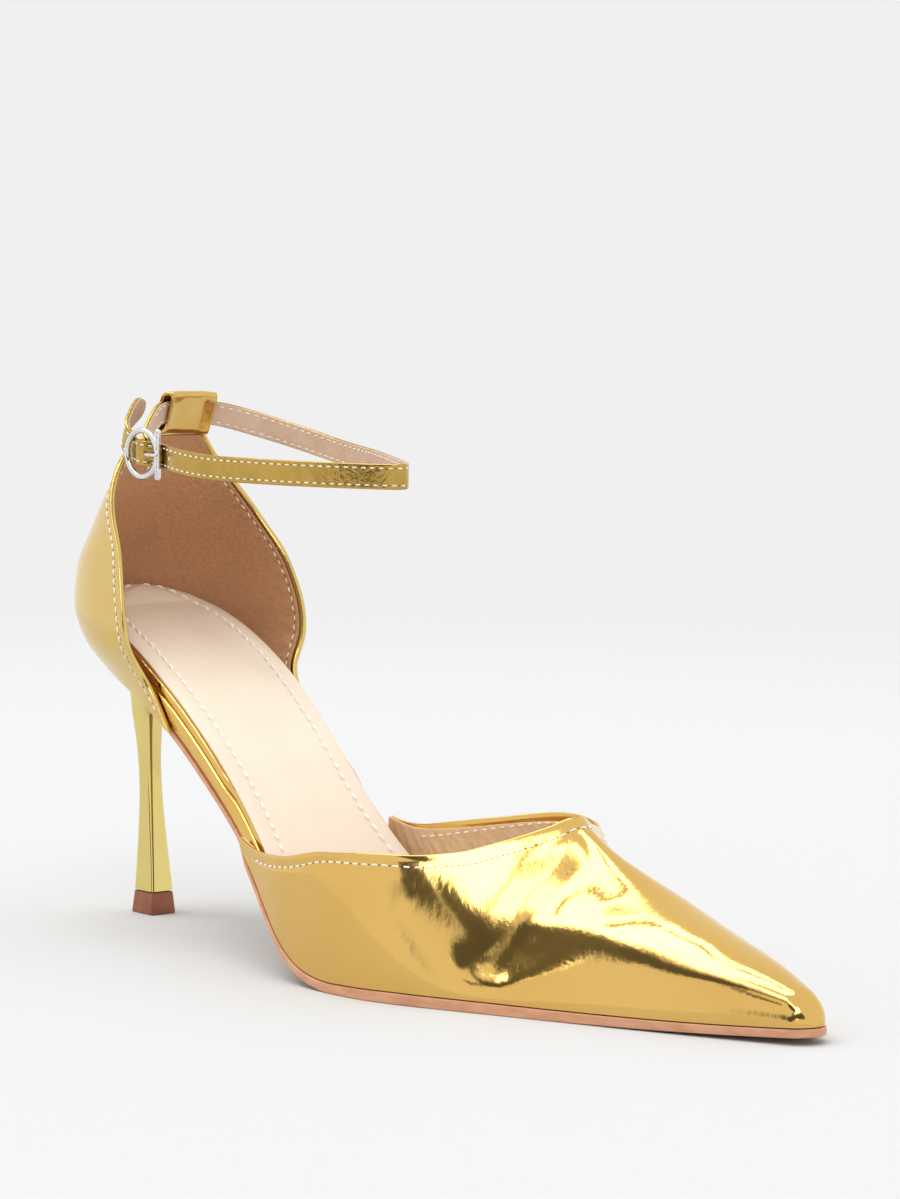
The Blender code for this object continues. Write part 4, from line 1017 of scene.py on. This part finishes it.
def cup_piece(name, outside, inside, material, **more):
    """A closed piece from the rings of a hoop, its foot and top closed between its skins."""
    rings = hoop(outside, inside)
    rows, cols = rings.shape[:2]
    wide = outside.shape[1]
    k = np.arange(wide - 1)
    mirror = cols - (cols - 2 * wide) // 2 - 1 - k
    cap = np.stack([k, k + 1, mirror - 1, mirror], -1)
    faces = np.concatenate([quads(rows, cols, wrap_cols=True), cap[:, ::-1], cap + (rows - 1) * cols])
    caps = []
    count = (cols - 2 * wide) // 2
    for base in (wide - 1, cols - count - 1):
        loop_ids = (base + np.arange(count + 2)) % cols
        for a in range((count + 2) // 2 - 1):
            b = count + 1 - a
            quad = np.array([loop_ids[a], loop_ids[a + 1], loop_ids[b - 1], loop_ids[b]])
            caps += [quad[::-1], quad + (rows - 1) * cols]
    faces = np.concatenate([faces, np.array(caps)])
    return new_piece(name, rings.reshape(-1, 3), faces, material, **more)


FOLD = 0.0016
SATIN_GOLD = (0.690, 0.500, 0.172)
SATIN_GOLD_DEEP = (0.670, 0.470, 0.155)
across, height = cup_lines(110, 161)
cup_core = cup_point(across, height)
cup_out = -normals(cup_point, across, height, (1e-3, 1e-5))
from_edge = edge_distance(cup_core)
cup_dip = 0.00014 * bell(from_edge, STITCH_IN, 0.0007)
cup_swell = 0.00012 * bell(from_edge, 0.0008, 0.0011)
soft_waves = 0.00006 * np.sin(height * 420 + 3 * across) * np.sin(across * 5.0 + height * 130)
counter_face = cup_core + cup_out * (GAP + COUNTER_WALL + cup_swell - cup_dip + soft_waves)[..., None]
fold_over = np.exp(-((from_edge / FOLD) ** 4))
counter_back = cup_core + cup_out * (GAP + 0.52 * COUNTER_WALL * (1 - fold_over) + 0.0001)[..., None]
for sheet in (counter_face, counter_back):
    sheet[0, :, 2] = feather(sheet[0, :, 0]) + GAP
    sheet[-1, :, 2] = cup_core[-1, :, 2]
satin_gold = finish("satin gold leather", SATIN_GOLD, SATIN_GOLD_DEEP, scale=50, rough=0.20, metal=1.0)
grain(satin_gold, pattern(satin_gold, scale=900, detail=3.0), depth=0.000018)
cup_piece(
    "counter_leather",
    counter_face,
    counter_back,
    satin_gold,
    slot="counter leather",
    replaces="upper_counter",
)

# Counter lining. Tan suede inside the heel cup, laid over a stiffener and sewn in with the fold.
# Near its far edge it puckers where the stitches pull it against the curve.
LINING_IN = 0.0011
COUNTER_PITCH = 0.0024
COUNTER_THREAD = {"length": 0.0016, "radius": 0.00022, "lift": 0.6}
LINING_THREAD = {"length": 0.0014, "radius": 0.00018}
lining_share = 1 - LINING_IN / np.maximum(from_edge.max(axis=1), 0.004)[:, None]
lining_across = across * lining_share
lining_core = cup_point(lining_across, height)
lining_cup_out = -normals(cup_point, lining_across, height, (1e-3, 1e-5))
lining_edge = edge_distance(lining_core)
pucker = np.sin(height * 2 * math.pi / 0.0042 + 0.8 * np.sin(height * 900))
pucker = pucker * bell(lining_edge, 0.004, 0.0035)
sewn = 0.00020 * bell(lining_edge, STITCH_IN - LINING_IN, 0.0008)
nip_height = np.clip((height - 0.012) / 0.004, 0, 1) * np.clip((0.036 - height) / 0.006, 0, 1)
nip = 0.00030 * bell(lining_across, 0.20, 0.016) * nip_height
lift_in = GAP - 0.00015 + 0.00016 * pucker + sewn - nip
cup_lining_face = lining_core + lining_cup_out * lift_in[..., None]
cup_lining_back = lining_core + lining_cup_out * (GAP + 0.45 * COUNTER_WALL)
for sheet in (cup_lining_face, cup_lining_back):
    sheet[0, :, 2] = feather(sheet[0, :, 0]) + GAP
    sheet[-1, :, 2] = cup_core[-1, :, 2] - 0.0003
cup_piece("counter_lining", cup_lining_back, cup_lining_face, suede, slot="counter leather")

rows_sewn = slice(4, -5)
cup_sewn = {"pitch": COUNTER_PITCH, "slot": "counter leather"}
lining_in = STITCH_IN - LINING_IN
for label, which in (("outer", slice(0, 70)), ("inner", slice(-1, -71, -1))):
    for sheet, face, out, edge_in, depth, thread, hole in (
        ("counter", counter_face, cup_out, from_edge, STITCH_IN, COUNTER_THREAD, 0.00028),
        ("lining", cup_lining_face, -lining_cup_out, lining_edge, lining_in, LINING_THREAD, 0.00026),
    ):
        path = at_depth(face[:, which].transpose(1, 0, 2), edge_in[:, which].T, depth)[rows_sewn]
        path_out = at_depth(out[:, which].transpose(1, 0, 2), edge_in[:, which].T, depth)[rows_sewn]
        stitches(f"{sheet}_stitches_{label}", path, path_out, white_thread, **thread, **cup_sewn)
        needle_holes(f"{sheet}_holes_{label}", path, path_out, painted_shade_hole, radius=hole, **cup_sewn)

# Heel. A slim moulded heel plated in pale mirror gold, screwed and glued under the seat.
# It widens in a trumpet from its neck to the seat's outline.
TIP_HEIGHT = 0.0055
HEEL_SLIM = 0.0050
NECK_HEIGHT = 0.78
COLUMN_COLUMNS = ("height", "middle", "length", "width", "square")
COLUMN = (
    (0.00, 0.00, 1.56, 1.36, 8.0),
    (0.12, -0.04, 1.42, 1.24, 7.0),
    (0.35, -0.14, 1.14, 1.05, 5.0),
    (0.62, -0.28, 1.00, 0.92, 3.6),
    (0.82, -0.40, 1.16, 1.06, 3.0),
    (1.00, -0.52, 1.52, 1.40, 2.6),
)
FLARE = ((0.00, 0.00), (0.30, 0.07), (0.55, 0.20), (0.76, 0.42), (0.91, 0.70), (1.00, 1.00))
HEEL_GOLD = (0.755, 0.610, 0.218)
HEEL_GOLD_DEEP = (0.680, 0.545, 0.190)
column = curves(
    COLUMN,
    COLUMN_COLUMNS,
    {"height": 1.0, "middle": HEEL_SLIM, "length": HEEL_SLIM / 2, "width": HEEL_SLIM / 2},
)
heel_side, heel_front = 60, 14
heel_grow = GAP + COUNTER_WALL - SOLE_EDGE
seat_end = -(SEAT_BACK + heel_grow)
seat_ahead = (BREAST - seat_end) / (SEAT_FRONT - seat_end)
side_turn = np.linspace(np.interp(seat_ahead, 1 - seat_cos, seat_turn), 0, heel_side)
side_x = seat_end + (SEAT_FRONT - seat_end) * (1 - swing(side_turn, SEAT_FULLNESS)[0])
outer_y = edge(side_x, -1, heel_grow)
inner_y = edge(side_x, 1, heel_grow)[-2::-1]
front_y = np.linspace(inner_y[-1], outer_y[0], heel_front + 2)[1:-1]
seat_x = np.concatenate([side_x, side_x[-2::-1], np.full(heel_front, BREAST)])
seat_x, seat_y = tuck(seat_x, np.concatenate([outer_y, inner_y, front_y]), 0.0)
seat_ring = np.stack([seat_x, seat_y, feather(seat_x)], 1)
heel_corner = math.radians(50)
heel_angle = np.concatenate(
    [
        np.linspace(-heel_corner, -math.pi, heel_side),
        np.linspace(math.pi, heel_corner, heel_side)[1:],
        np.linspace(heel_corner, -heel_corner, heel_front + 2)[1:-1],
    ]
)


def column_ring(share):
    """A rounded square round the heel's middle, by powers of the cosine and sine."""
    power = 2 / column["square"](share)
    cos, sin = np.cos(heel_angle), np.sin(heel_angle)
    x = column["middle"](share) + column["length"](share) * powered(cos, power)
    y = column["width"](share) * powered(sin, power)
    start = TIP_HEIGHT + GAP
    z = start + (NECK_HEIGHT * HEEL_HEIGHT - start) * share
    return np.stack([x, y, np.full(len(heel_angle), z)], 1)


flare_out = smooth(*zip(*FLARE))
neck_ring = column_ring(1.0)
heel_rings = [column_ring(share) for share in np.linspace(0, 1, 50)]
for up in np.linspace(0, 1, 40)[1:]:
    out = flare_out(up)
    ring = neck_ring + (seat_ring - neck_ring) * out
    ring[:, 2] = neck_ring[:, 2] + (seat_ring[:, 2] - neck_ring[:, 2]) * up
    heel_rings.append(ring)
heel_rings = np.array(heel_rings)
heel_count = heel_rings.shape[1]
caps = np.stack([heel_rings[0].mean(0), heel_rings[-1].mean(0)])
heel_points = np.concatenate([heel_rings.reshape(-1, 3), np.repeat(caps, heel_count, axis=0)])
heel_faces = quads(len(heel_rings), heel_count, wrap_cols=True)
around = np.arange(heel_count)
following = (around + 1) % heel_count
last_ring = (len(heel_rings) - 1) * heel_count
for ring_start, cap_start in ((0, heel_count), (last_ring, 2 * heel_count)):
    cap = last_ring + cap_start
    cap = np.stack([ring_start + around, ring_start + following, cap + following, cap + around], -1)
    heel_faces = np.concatenate([heel_faces, cap])
plated_gold = finish("pale plated gold", HEEL_GOLD, HEEL_GOLD_DEEP, scale=30, rough=0.07, metal=1.0)
grain(plated_gold, pattern(plated_gold, scale=90, stretch=(1, 1, 0.3), detail=2.0), depth=0.00003)
new_piece("plated_heel", heel_points, heel_faces, plated_gold, slot="heel cover", replaces="heel")

# Top piece. A small moulded block of terracotta rubber, pinned into the heel's end.
TIP_LENGTH = 0.0090
TIP_WIDTH = 0.0075
TIP_TAPER = 0.87
TIP_EASE = 0.0003
TIP_SQUARE = 0.16
TERRACOTTA = (0.330, 0.105, 0.045)
TERRACOTTA_DEEP = (0.250, 0.075, 0.030)
tip_angle = np.linspace(0, 2 * math.pi, 96, endpoint=False)


def tip_ring(z, inset):
    """A square with small round corners, tapering with height and drawn in by an inset."""
    taper = 1 + (TIP_TAPER - 1) * z / TIP_HEIGHT
    cos, sin = np.cos(tip_angle), np.sin(tip_angle)
    x = (TIP_LENGTH / 2 * taper - inset) * powered(cos, TIP_SQUARE)
    y = (TIP_WIDTH / 2 * taper - inset) * powered(sin, TIP_SQUARE)
    return np.stack([x, y, np.full(96, z)], 1)


tip_steps = [(0.0, TIP_EASE * 4), (0.0, TIP_EASE)]
tip_steps += [(TIP_EASE * (1 - math.cos(t)), TIP_EASE * (1 - math.sin(t))) for t in np.radians([30, 60, 90])]
tip_steps += [(TIP_HEIGHT * s, 0.0) for s in (0.3, 0.5, 0.7, 0.85)]
for t in np.radians([90, 60, 30]):
    tip_steps.append((TIP_HEIGHT - TIP_EASE * (1 - math.cos(t)), TIP_EASE * (1 - math.sin(t))))
tip_steps += [(TIP_HEIGHT, TIP_EASE), (TIP_HEIGHT, TIP_EASE * 4)]
tip_rings = np.array([tip_ring(z, inset) for z, inset in tip_steps])
terracotta = finish("terracotta rubber", TERRACOTTA, TERRACOTTA_DEEP, scale=300, rough=0.5)
grain(terracotta, pattern(terracotta, scale=1800, detail=4.0), depth=0.00004)
tube("rubber_top_piece", tip_rings, terracotta, slot="top piece", replaces="heel_tip")

# Strap loop. The counter's tab, folded forward into a tunnel for the strap and sewn down.
# The thin leather is pulled into soft wrinkles where it turns.
STRAP_WIDTH = 0.0060
STRAP_THICKNESS = 0.0012
STRAP_REACH = 0.0860
STRAP_SPREAD = 0.0234
STRAP_DROP = 0.0103
LOOP_LENGTH = 0.0142
LOOP_HEIGHT = 0.0106
LOOP_LEAN = 0.38
LOOP_WALL = 0.0011
LOOP_ROOM = 0.0005
LOOP_GOLD = (0.690, 0.470, 0.150)
LOOP_GOLD_DEEP = (0.630, 0.400, 0.120)
BUCKLE_RADIUS = 0.0056
BUCKLE_WIRE = 0.0007
BAR_LENGTH = 0.0122
PRONG_WIRE = 0.00042
# The strap's route. ahead: share of its reach. across: share of its spread. drop: of its drop.
ROUTE_BACK = (
    (0.090, -0.715, 0.74),
    (0.056, -0.590, 0.38),
    (0.024, -0.370, 0.00),
    (0.004, -0.165, -0.02),
    (0.000, 0.000, 0.00),
    (0.004, 0.165, 0.01),
    (0.027, 0.385, 0.07),
    (0.098, 0.700, 0.31),
    (0.215, 0.905, 0.58),
    (0.385, 1.000, 0.86),
    (0.560, 0.880, 0.96),
    (0.740, 0.610, 1.00),
    (0.890, 0.320, 1.00),
    (0.970, 0.140, 1.00),
    (1.000, 0.000, 1.00),
    (0.970, -0.140, 1.00),
    (0.890, -0.330, 1.00),
    (0.740, -0.605, 1.00),
    (0.560, -0.800, 1.00),
    (0.400, -0.880, 0.98),
)
ROUTE_TIP = (
    (0.040, -0.840, 0.50),
    (0.006, -0.740, 0.22),
    (-0.022, -0.550, -0.08),
    (-0.034, -0.430, -0.25),
)
BUCKLE_PLACE = (0.137, -0.897, 0.83)
BUCKLE_TURN = math.radians(4)
LOOP_DEPTH = STRAP_THICKNESS + 2 * (LOOP_ROOM + LOOP_WALL)
COUNTER_TOP = HEEL_HEIGHT + WAIST_SOLE + COUNTER_HEIGHT
LOOP_MIDDLE = np.array(
    [
        CUP[-1][1] * CUP_DEPTH - SEAT_BACK + (LOOP_LEAN * LOOP_HEIGHT + LOOP_DEPTH) / 2 - COUNTER_WALL,
        0.0,
        COUNTER_TOP + GAP + LOOP_HEIGHT / 2,
    ]
)
AHEAD = np.array([math.cos(BUCKLE_TURN), math.sin(BUCKLE_TURN), 0.0])
OUTWARD = np.array([math.sin(BUCKLE_TURN), -math.cos(BUCKLE_TURN), 0.0])
UPWARD = np.array([0.0, 0.0, 1.0])
FORWARD = np.array([1.0, 0.0, 0.0])


def route_point(row):
    """A point of the route from its shares of reach, spread and drop."""
    ahead, across, drop = row
    return LOOP_MIDDLE + np.array([ahead * STRAP_REACH, across * STRAP_SPREAD, -drop * STRAP_DROP])


def fine_route(points, step):
    """Evenly spaced points on the smooth curve through a route, with its unit tangents."""
    spans = np.linalg.norm(np.diff(points, axis=0), axis=1) ** 0.7
    length = np.concatenate([[0], np.cumsum(spans)])
    axes = [smooth(length, points[:, i]) for i in range(3)]
    dense = np.linspace(0, length[-1], 6000)
    line = np.stack([axis(dense) for axis in axes], 1)
    run = run_along(line)
    count = int(round(run[-1] / step)) + 1
    even = np.interp(np.linspace(0, run[-1], count), run, dense)
    line = np.stack([axis(even) for axis in axes], 1)
    return line, unit(np.gradient(line, axis=0)), run[-1]


loop_route = np.array([route_point(row) for row in ROUTE_BACK[2:7]])
loop_line, loop_tangent, loop_run = fine_route(loop_route, 0.0001)
loop_places = np.linspace(0, loop_run, len(loop_line))
loop_middle = loop_places[np.argmin(np.abs(loop_line[:, 1]))]
loop_wanted = np.linspace(loop_middle - LOOP_LENGTH / 2, loop_middle + LOOP_LENGTH / 2, 61)
loop_index = np.round(np.interp(loop_wanted, loop_places, np.arange(len(loop_line)))).astype(int)
loop_line = loop_line[loop_index]
loop_across = unit(np.cross(loop_tangent[loop_index], UPWARD))
loop_turn = np.linspace(0, 2 * math.pi, 96, endpoint=False)


def loop_ring(depth, height, swell=0.0):
    """A rounded rectangle across the strap at each place along it, swollen by a field."""
    cos, sin = np.cos(loop_turn), np.sin(loop_turn)
    out = depth / 2 * powered(cos, 0.62)
    up = height / 2 * powered(sin, 0.40)
    rise = UPWARD + LOOP_LEAN * FORWARD
    size = 1 + np.broadcast_to(swell, (len(loop_line), len(loop_turn)))
    middle = loop_line[:, None]
    return middle + (loop_across[:, None] * out[None, :, None] + rise * up[None, :, None]) * size[..., None]


loop_along = np.linspace(-1, 1, 61)[:, None]
wrinkle = 0.008 * np.sin(7 * loop_along + 2.2 * np.sin(2 * loop_turn)[None]) * np.cos(loop_turn)[None] ** 2
wrinkle = wrinkle + 0.02 * (1 - loop_along**2) - 0.01
loop_outside = loop_ring(LOOP_DEPTH, LOOP_HEIGHT, wrinkle)
loop_inside = loop_ring(LOOP_DEPTH - 2 * LOOP_WALL, LOOP_HEIGHT - 2 * LOOP_WALL)


def collar(outside, inside):
    """Rings of a short pipe wall: out along the outside, over a half round at one mouth, back
    along the inside and over the other."""
    parts = []
    for last_row, next_row in ((-1, -2), (0, 1)):
        o, i = outside[last_row], inside[last_row]
        beyond = unit(o - outside[next_row])
        turn = np.linspace(0, math.pi, 7)[1:-1, None, None]
        half = (o - i) / 2
        size = np.linalg.norm(half, axis=-1, keepdims=True)
        parts.append((o + i) / 2 + half * np.cos(turn) + beyond * size * 0.6 * np.sin(turn))
    return np.concatenate([outside, parts[0], inside[::-1], parts[1][::-1]])


loop_grid = collar(loop_outside, loop_inside)
loop_faces = quads(*loop_grid.shape[:2], wrap_rows=True, wrap_cols=True)
loop_gold = finish("gold leather of the loop", LOOP_GOLD, LOOP_GOLD_DEEP, scale=70, rough=0.15, metal=1.0)
grain(loop_gold, pattern(loop_gold, scale=420, detail=2.0), depth=0.00002)
loop_points = loop_grid.reshape(-1, 3)
new_piece("tab_loop", loop_points, loop_faces, loop_gold, slot="loop leather", replaces="strap_loop")

# Ankle strap. Two layers, gold outside and beige inside, cemented and sewn along both edges.
# It is hooked round the buckle's middle bar, runs through the loop and round to its tip.
BAR_INWARD = BUCKLE_WIRE * 2 + STRAP_THICKNESS * 0.65 + GAP
BUCKLE = route_point(BUCKLE_PLACE)
HOLE_AHEAD = 0.36 * BUCKLE_RADIUS
STRAP_STITCH_IN = 0.0010
STRAP_PITCH = 0.0022
STRAP_GOLD = (0.520, 0.335, 0.085)
STRAP_GOLD_DEEP = (0.460, 0.290, 0.070)
STRAP_BEIGE = (0.680, 0.490, 0.350)
STRAP_BEIGE_DEEP = (0.630, 0.440, 0.310)
# The punched hole's two tones are a painted highlight: a pale disc stands in for the light caught at the
# edge of the hole.
PUNCHED_HOLE_HIGHLIGHT = (0.800, 0.700, 0.500)
PUNCHED_HOLE_HIGHLIGHT_DEEP = (0.700, 0.600, 0.420)


def at_buckle(ahead, outward, upward=0.0):
    """A point given from the buckle's middle, in metres."""
    return BUCKLE + ahead * AHEAD + outward * OUTWARD + upward * UPWARD


hook = BUCKLE_WIRE + GAP + STRAP_THICKNESS / 2
route = []
for degrees in (125, 90, 45, 0, -45, -90):
    turn = math.radians(degrees)
    route.append(at_buckle(hook * math.cos(turn), hook * math.sin(turn) - BAR_INWARD))
route += [route_point(row) for row in ROUTE_BACK]
over = hook + STRAP_THICKNESS + GAP - BAR_INWARD
lift = 0.0006
route.append(at_buckle(1.75 * BUCKLE_RADIUS, -0.35 * hook, -lift))
route.append(at_buckle(1.05 * BUCKLE_RADIUS, -hook, -lift / 2))
route.append(at_buckle(0.50 * BUCKLE_RADIUS, (over - hook) / 2, 0.0))
route.append(at_buckle(0.05 * BUCKLE_RADIUS, over, lift / 2))
route.append(at_buckle(-0.45 * BUCKLE_RADIUS, (over - hook) / 2, lift))
route.append(at_buckle(-0.98 * BUCKLE_RADIUS, -hook, 2 * lift))
route += [route_point(row) for row in ROUTE_TIP]
band_line, band_tangent, band_length = fine_route(np.array(route), 0.0006)
band_run = np.linspace(0, band_length, len(band_line))
lean = LOOP_LEAN * np.clip(1 - np.abs(band_line[:, 0] - LOOP_MIDDLE[0]) / (0.115 * STRAP_REACH), 0, 1) ** 2
band_across = unit(np.cross(band_tangent, UPWARD + lean[:, None] * FORWARD))
band_up = np.cross(band_across, band_tangent)
tip_share = np.clip((band_length - band_run) / (STRAP_WIDTH * 0.6), 0.03, 1)
band_half = STRAP_WIDTH / 2 * np.sqrt(tip_share * (2 - tip_share))


def band(half, low, high, rounding):
    """Rings of a flat band between two levels across its thickness, with round edges: the
    level runs on a half ellipse at each edge and straight between. The outer face has a low
    trough along each stitch row. Each ring starts at the middle of an edge, where it folds."""
    rings = []
    wide = np.linspace(-1, 1, 25)
    turn = np.linspace(0, math.pi, 9)[1:-1]
    middle, depth = (low + high) / 2, (high - low) / 2
    flat = np.maximum(half - rounding, half * 0.2)
    eased = half - flat
    sewn = STRAP_WIDTH / 2 - STRAP_STITCH_IN
    for share in wide:
        dip = 0.00007 * bell(np.abs(flat * share), sewn, 0.00035)
        rings.append((flat * share, middle + depth - dip))
    for t in turn:
        rings.append((flat + eased * math.sin(t), middle + depth * math.cos(t) + 0 * half))
    for share in wide[::-1]:
        rings.append((flat * share, middle - depth + 0 * half))
    for t in turn:
        rings.append((-flat - eased * math.sin(t), middle - depth * math.cos(t) + 0 * half))
    rings = [band_line + band_up * u[:, None] + band_across * v[:, None] for u, v in rings]
    return np.roll(np.stack(rings, 1), 4, axis=1)


strap_gold = finish(
    "gold leather of the strap",
    STRAP_GOLD,
    STRAP_GOLD_DEEP,
    scale=260,
    rough=0.17,
    metal=1.0,
)
grain(strap_gold, pattern(strap_gold, scale=900, detail=3.0), depth=0.00003)
grain(strap_gold, pattern(strap_gold, scale=150, detail=2.0), depth=0.00002)
strap_beige = finish("beige strap lining", STRAP_BEIGE, STRAP_BEIGE_DEEP, scale=180, rough=0.5)
grain(strap_beige, pattern(strap_beige, scale=2200, detail=4.0), depth=0.00003)
# The band's outward face is on the side of its across direction that points away from the ankle.
outward_sign = -1.0 if (band_across[len(band_line) // 2] @ FORWARD) < 0 else 1.0
thin = STRAP_THICKNESS / 2
gold_levels = (-0.45 * thin, thin) if outward_sign > 0 else (-thin, 0.45 * thin)
beige_levels = (-thin, -0.40 * thin) if outward_sign > 0 else (0.40 * thin, thin)
gold_band = band(band_half, *gold_levels, 0.0003)
tube("strap_leather", gold_band, strap_gold, slot="strap leather", replaces="ankle_strap")
tube("strap_lining", band(band_half * 0.93, *beige_levels, 0.0002), strap_beige, slot="strap leather")
sewn_rows = slice(30, -14)
for side, label in ((-1, "lower"), (1, "upper")):
    for face, sign, thread in (("outside", outward_sign, 0.00016), ("inside", -outward_sign, 0.00014)):
        path = band_line + band_up * side * (STRAP_WIDTH / 2 - STRAP_STITCH_IN)
        path = (path + band_across * sign * (thin - 0.00003))[sewn_rows]
        path_out = (band_across * sign)[sewn_rows]
        sewn = {"pitch": STRAP_PITCH, "slot": "strap leather"}
        name = f"strap_stitches_{face}_{label}"
        stitches(name, path, path_out, white_thread, length=0.0013, radius=thread, lift=0.5, **sewn)
        if face == "outside":
            needle_holes(f"strap_holes_{label}", path, path_out, painted_shade_hole, radius=0.00022, **sewn)

punched = np.argmin(np.linalg.norm(band_line - at_buckle(2.1 * BUCKLE_RADIUS, 0.0), axis=1))
punched_part = slice(punched, punched + 17)
punched_out = band_across[punched_part] * outward_sign
punched_path = band_line[punched_part] + punched_out * thin
# Painted highlight: the pale disc at the punched hole in the strap.
painted_highlight_hole = finish("painted highlight of a punched hole", PUNCHED_HOLE_HIGHLIGHT, PUNCHED_HOLE_HIGHLIGHT_DEEP, scale=900, rough=0.6)
needle_holes(
    "strap_punched_hole",
    punched_path,
    punched_out,
    painted_highlight_hole,
    pitch=0.0040,
    radius=0.0006,
    slot="strap leather",
)

# Buckle. A small cast ring with a straight bar in front and a middle bar for the strap's fold.
# It is plated in bright silver; its wires are round.
WIRE_SIDES = 24
RING_STEPS = 120
SILVER = (0.740, 0.740, 0.750)
SILVER_DEEP = (0.660, 0.660, 0.680)


def wire_rings(points, radius):
    """Rings of a round wire along points, with half-round ends: the circle's plane turns with
    the path, kept from twisting by projecting one direction along it."""
    tangent = unit(np.gradient(points, axis=0))
    first = np.cross(tangent[0], UPWARD if abs(tangent[0] @ UPWARD) < 0.9 else FORWARD)
    side = unit(first[None] - (tangent @ first)[:, None] * tangent)
    other = np.cross(tangent, side)
    turn = np.linspace(0, 2 * math.pi, WIRE_SIDES, endpoint=False)
    circle = side[:, None] * np.cos(turn)[None, :, None] + other[:, None] * np.sin(turn)[None, :, None]
    rings = points[:, None] + circle * radius
    t = np.radians([25, 50, 75])[:, None, None]
    bulge, narrow = radius * np.sin(t) * 0.8, radius * np.cos(t)
    front = points[-1] + tangent[-1] * bulge + circle[-1] * narrow
    back = points[0] - tangent[0] * bulge + circle[0] * narrow
    return np.concatenate([back[::-1], rings, front])


def through(points, count):
    """A smooth path through a few points."""
    points = np.array(points)
    run = run_along(points)
    wanted = np.linspace(0, run[-1], count)
    return np.stack([smooth(run, points[:, k])(wanted) for k in range(3)], 1)


silver = finish("bright silver plate", SILVER, SILVER_DEEP, scale=400, rough=0.10, metal=1.0)
grain(silver, pattern(silver, scale=900, detail=2.0), depth=0.00002)
ring_turn = np.linspace(0, 2 * math.pi, RING_STEPS, endpoint=False)[:, None]
wire_turn = np.linspace(0, 2 * math.pi, WIRE_SIDES, endpoint=False)[None]
ring_radius = BUCKLE_RADIUS + BUCKLE_WIRE * np.cos(wire_turn)
ring_ahead = (ring_radius * np.cos(ring_turn))[..., None] * AHEAD
ring_up = (ring_radius * np.sin(ring_turn))[..., None] * UPWARD
ring_out = np.broadcast_to(BUCKLE_WIRE * np.sin(wire_turn), (RING_STEPS, WIRE_SIDES))[..., None] * OUTWARD
torus = BUCKLE + ring_ahead + ring_up + ring_out
bar_front = BUCKLE_RADIUS + BUCKLE_WIRE * 0.35
bar_bend = STRAP_WIDTH / 2 + BUCKLE_WIRE + GAP
bar_half = BAR_LENGTH / 2 - 0.0005
bar_ends = at_buckle(bar_front, 0, -bar_half), at_buckle(bar_front, 0, bar_half)
front_bar = wire_rings(np.linspace(*bar_ends, 24), BUCKLE_WIRE * 1.1)
middle_bar = wire_rings(
    through(
        [
            at_buckle(0, 0, -BUCKLE_RADIUS),
            at_buckle(0, -BAR_INWARD * 0.75, -(bar_bend + BUCKLE_RADIUS) / 2 - 0.0002),
            at_buckle(0, -BAR_INWARD, -bar_bend),
            at_buckle(0, -BAR_INWARD, 0.0),
            at_buckle(0, -BAR_INWARD, bar_bend),
            at_buckle(0, -BAR_INWARD * 0.75, (bar_bend + BUCKLE_RADIUS) / 2 + 0.0002),
            at_buckle(0, 0, BUCKLE_RADIUS),
        ],
        60,
    ),
    BUCKLE_WIRE * 0.95,
)
buckle_points = [torus.reshape(-1, 3)]
buckle_faces = [quads(RING_STEPS, WIRE_SIDES, wrap_rows=True, wrap_cols=True)]
for rings in (front_bar, middle_bar):
    start = sum(len(points) for points in buckle_points)
    buckle_faces.append(start + closed(*rings.shape[:2]))
    buckle_points.append(rings.reshape(-1, 3))
buckle_points, buckle_faces = np.concatenate(buckle_points), np.concatenate(buckle_faces)
new_piece("silver_buckle", buckle_points, buckle_faces, silver, slot="buckle", replaces="buckle_frame")

# Prong. A silver pin hooked on the middle bar, up through the strap's hole, on the front bar.
prong_hook = BUCKLE_WIRE + GAP + PRONG_WIRE
prong_rest = BUCKLE_WIRE * 1.1 + GAP + PRONG_WIRE
prong_points = []
for degrees in (190, 160, 130, 100, 70):
    turn = math.radians(degrees)
    prong_points.append(at_buckle(prong_hook * math.cos(turn), prong_hook * math.sin(turn) - BAR_INWARD))
prong_points.append(at_buckle(HOLE_AHEAD * 0.8, -BAR_INWARD * 0.35))
prong_points.append(at_buckle(HOLE_AHEAD, PRONG_WIRE))
prong_points.append(at_buckle(HOLE_AHEAD * 1.5, prong_rest * 0.85))
prong_points.append(at_buckle(bar_front * 0.75, prong_rest))
prong_points.append(at_buckle(bar_front * 1.18, prong_rest))
prong_rings = wire_rings(through(prong_points, 60), PRONG_WIRE)
tube("silver_prong", prong_rings, silver, slot="prong", replaces="buckle_prong")
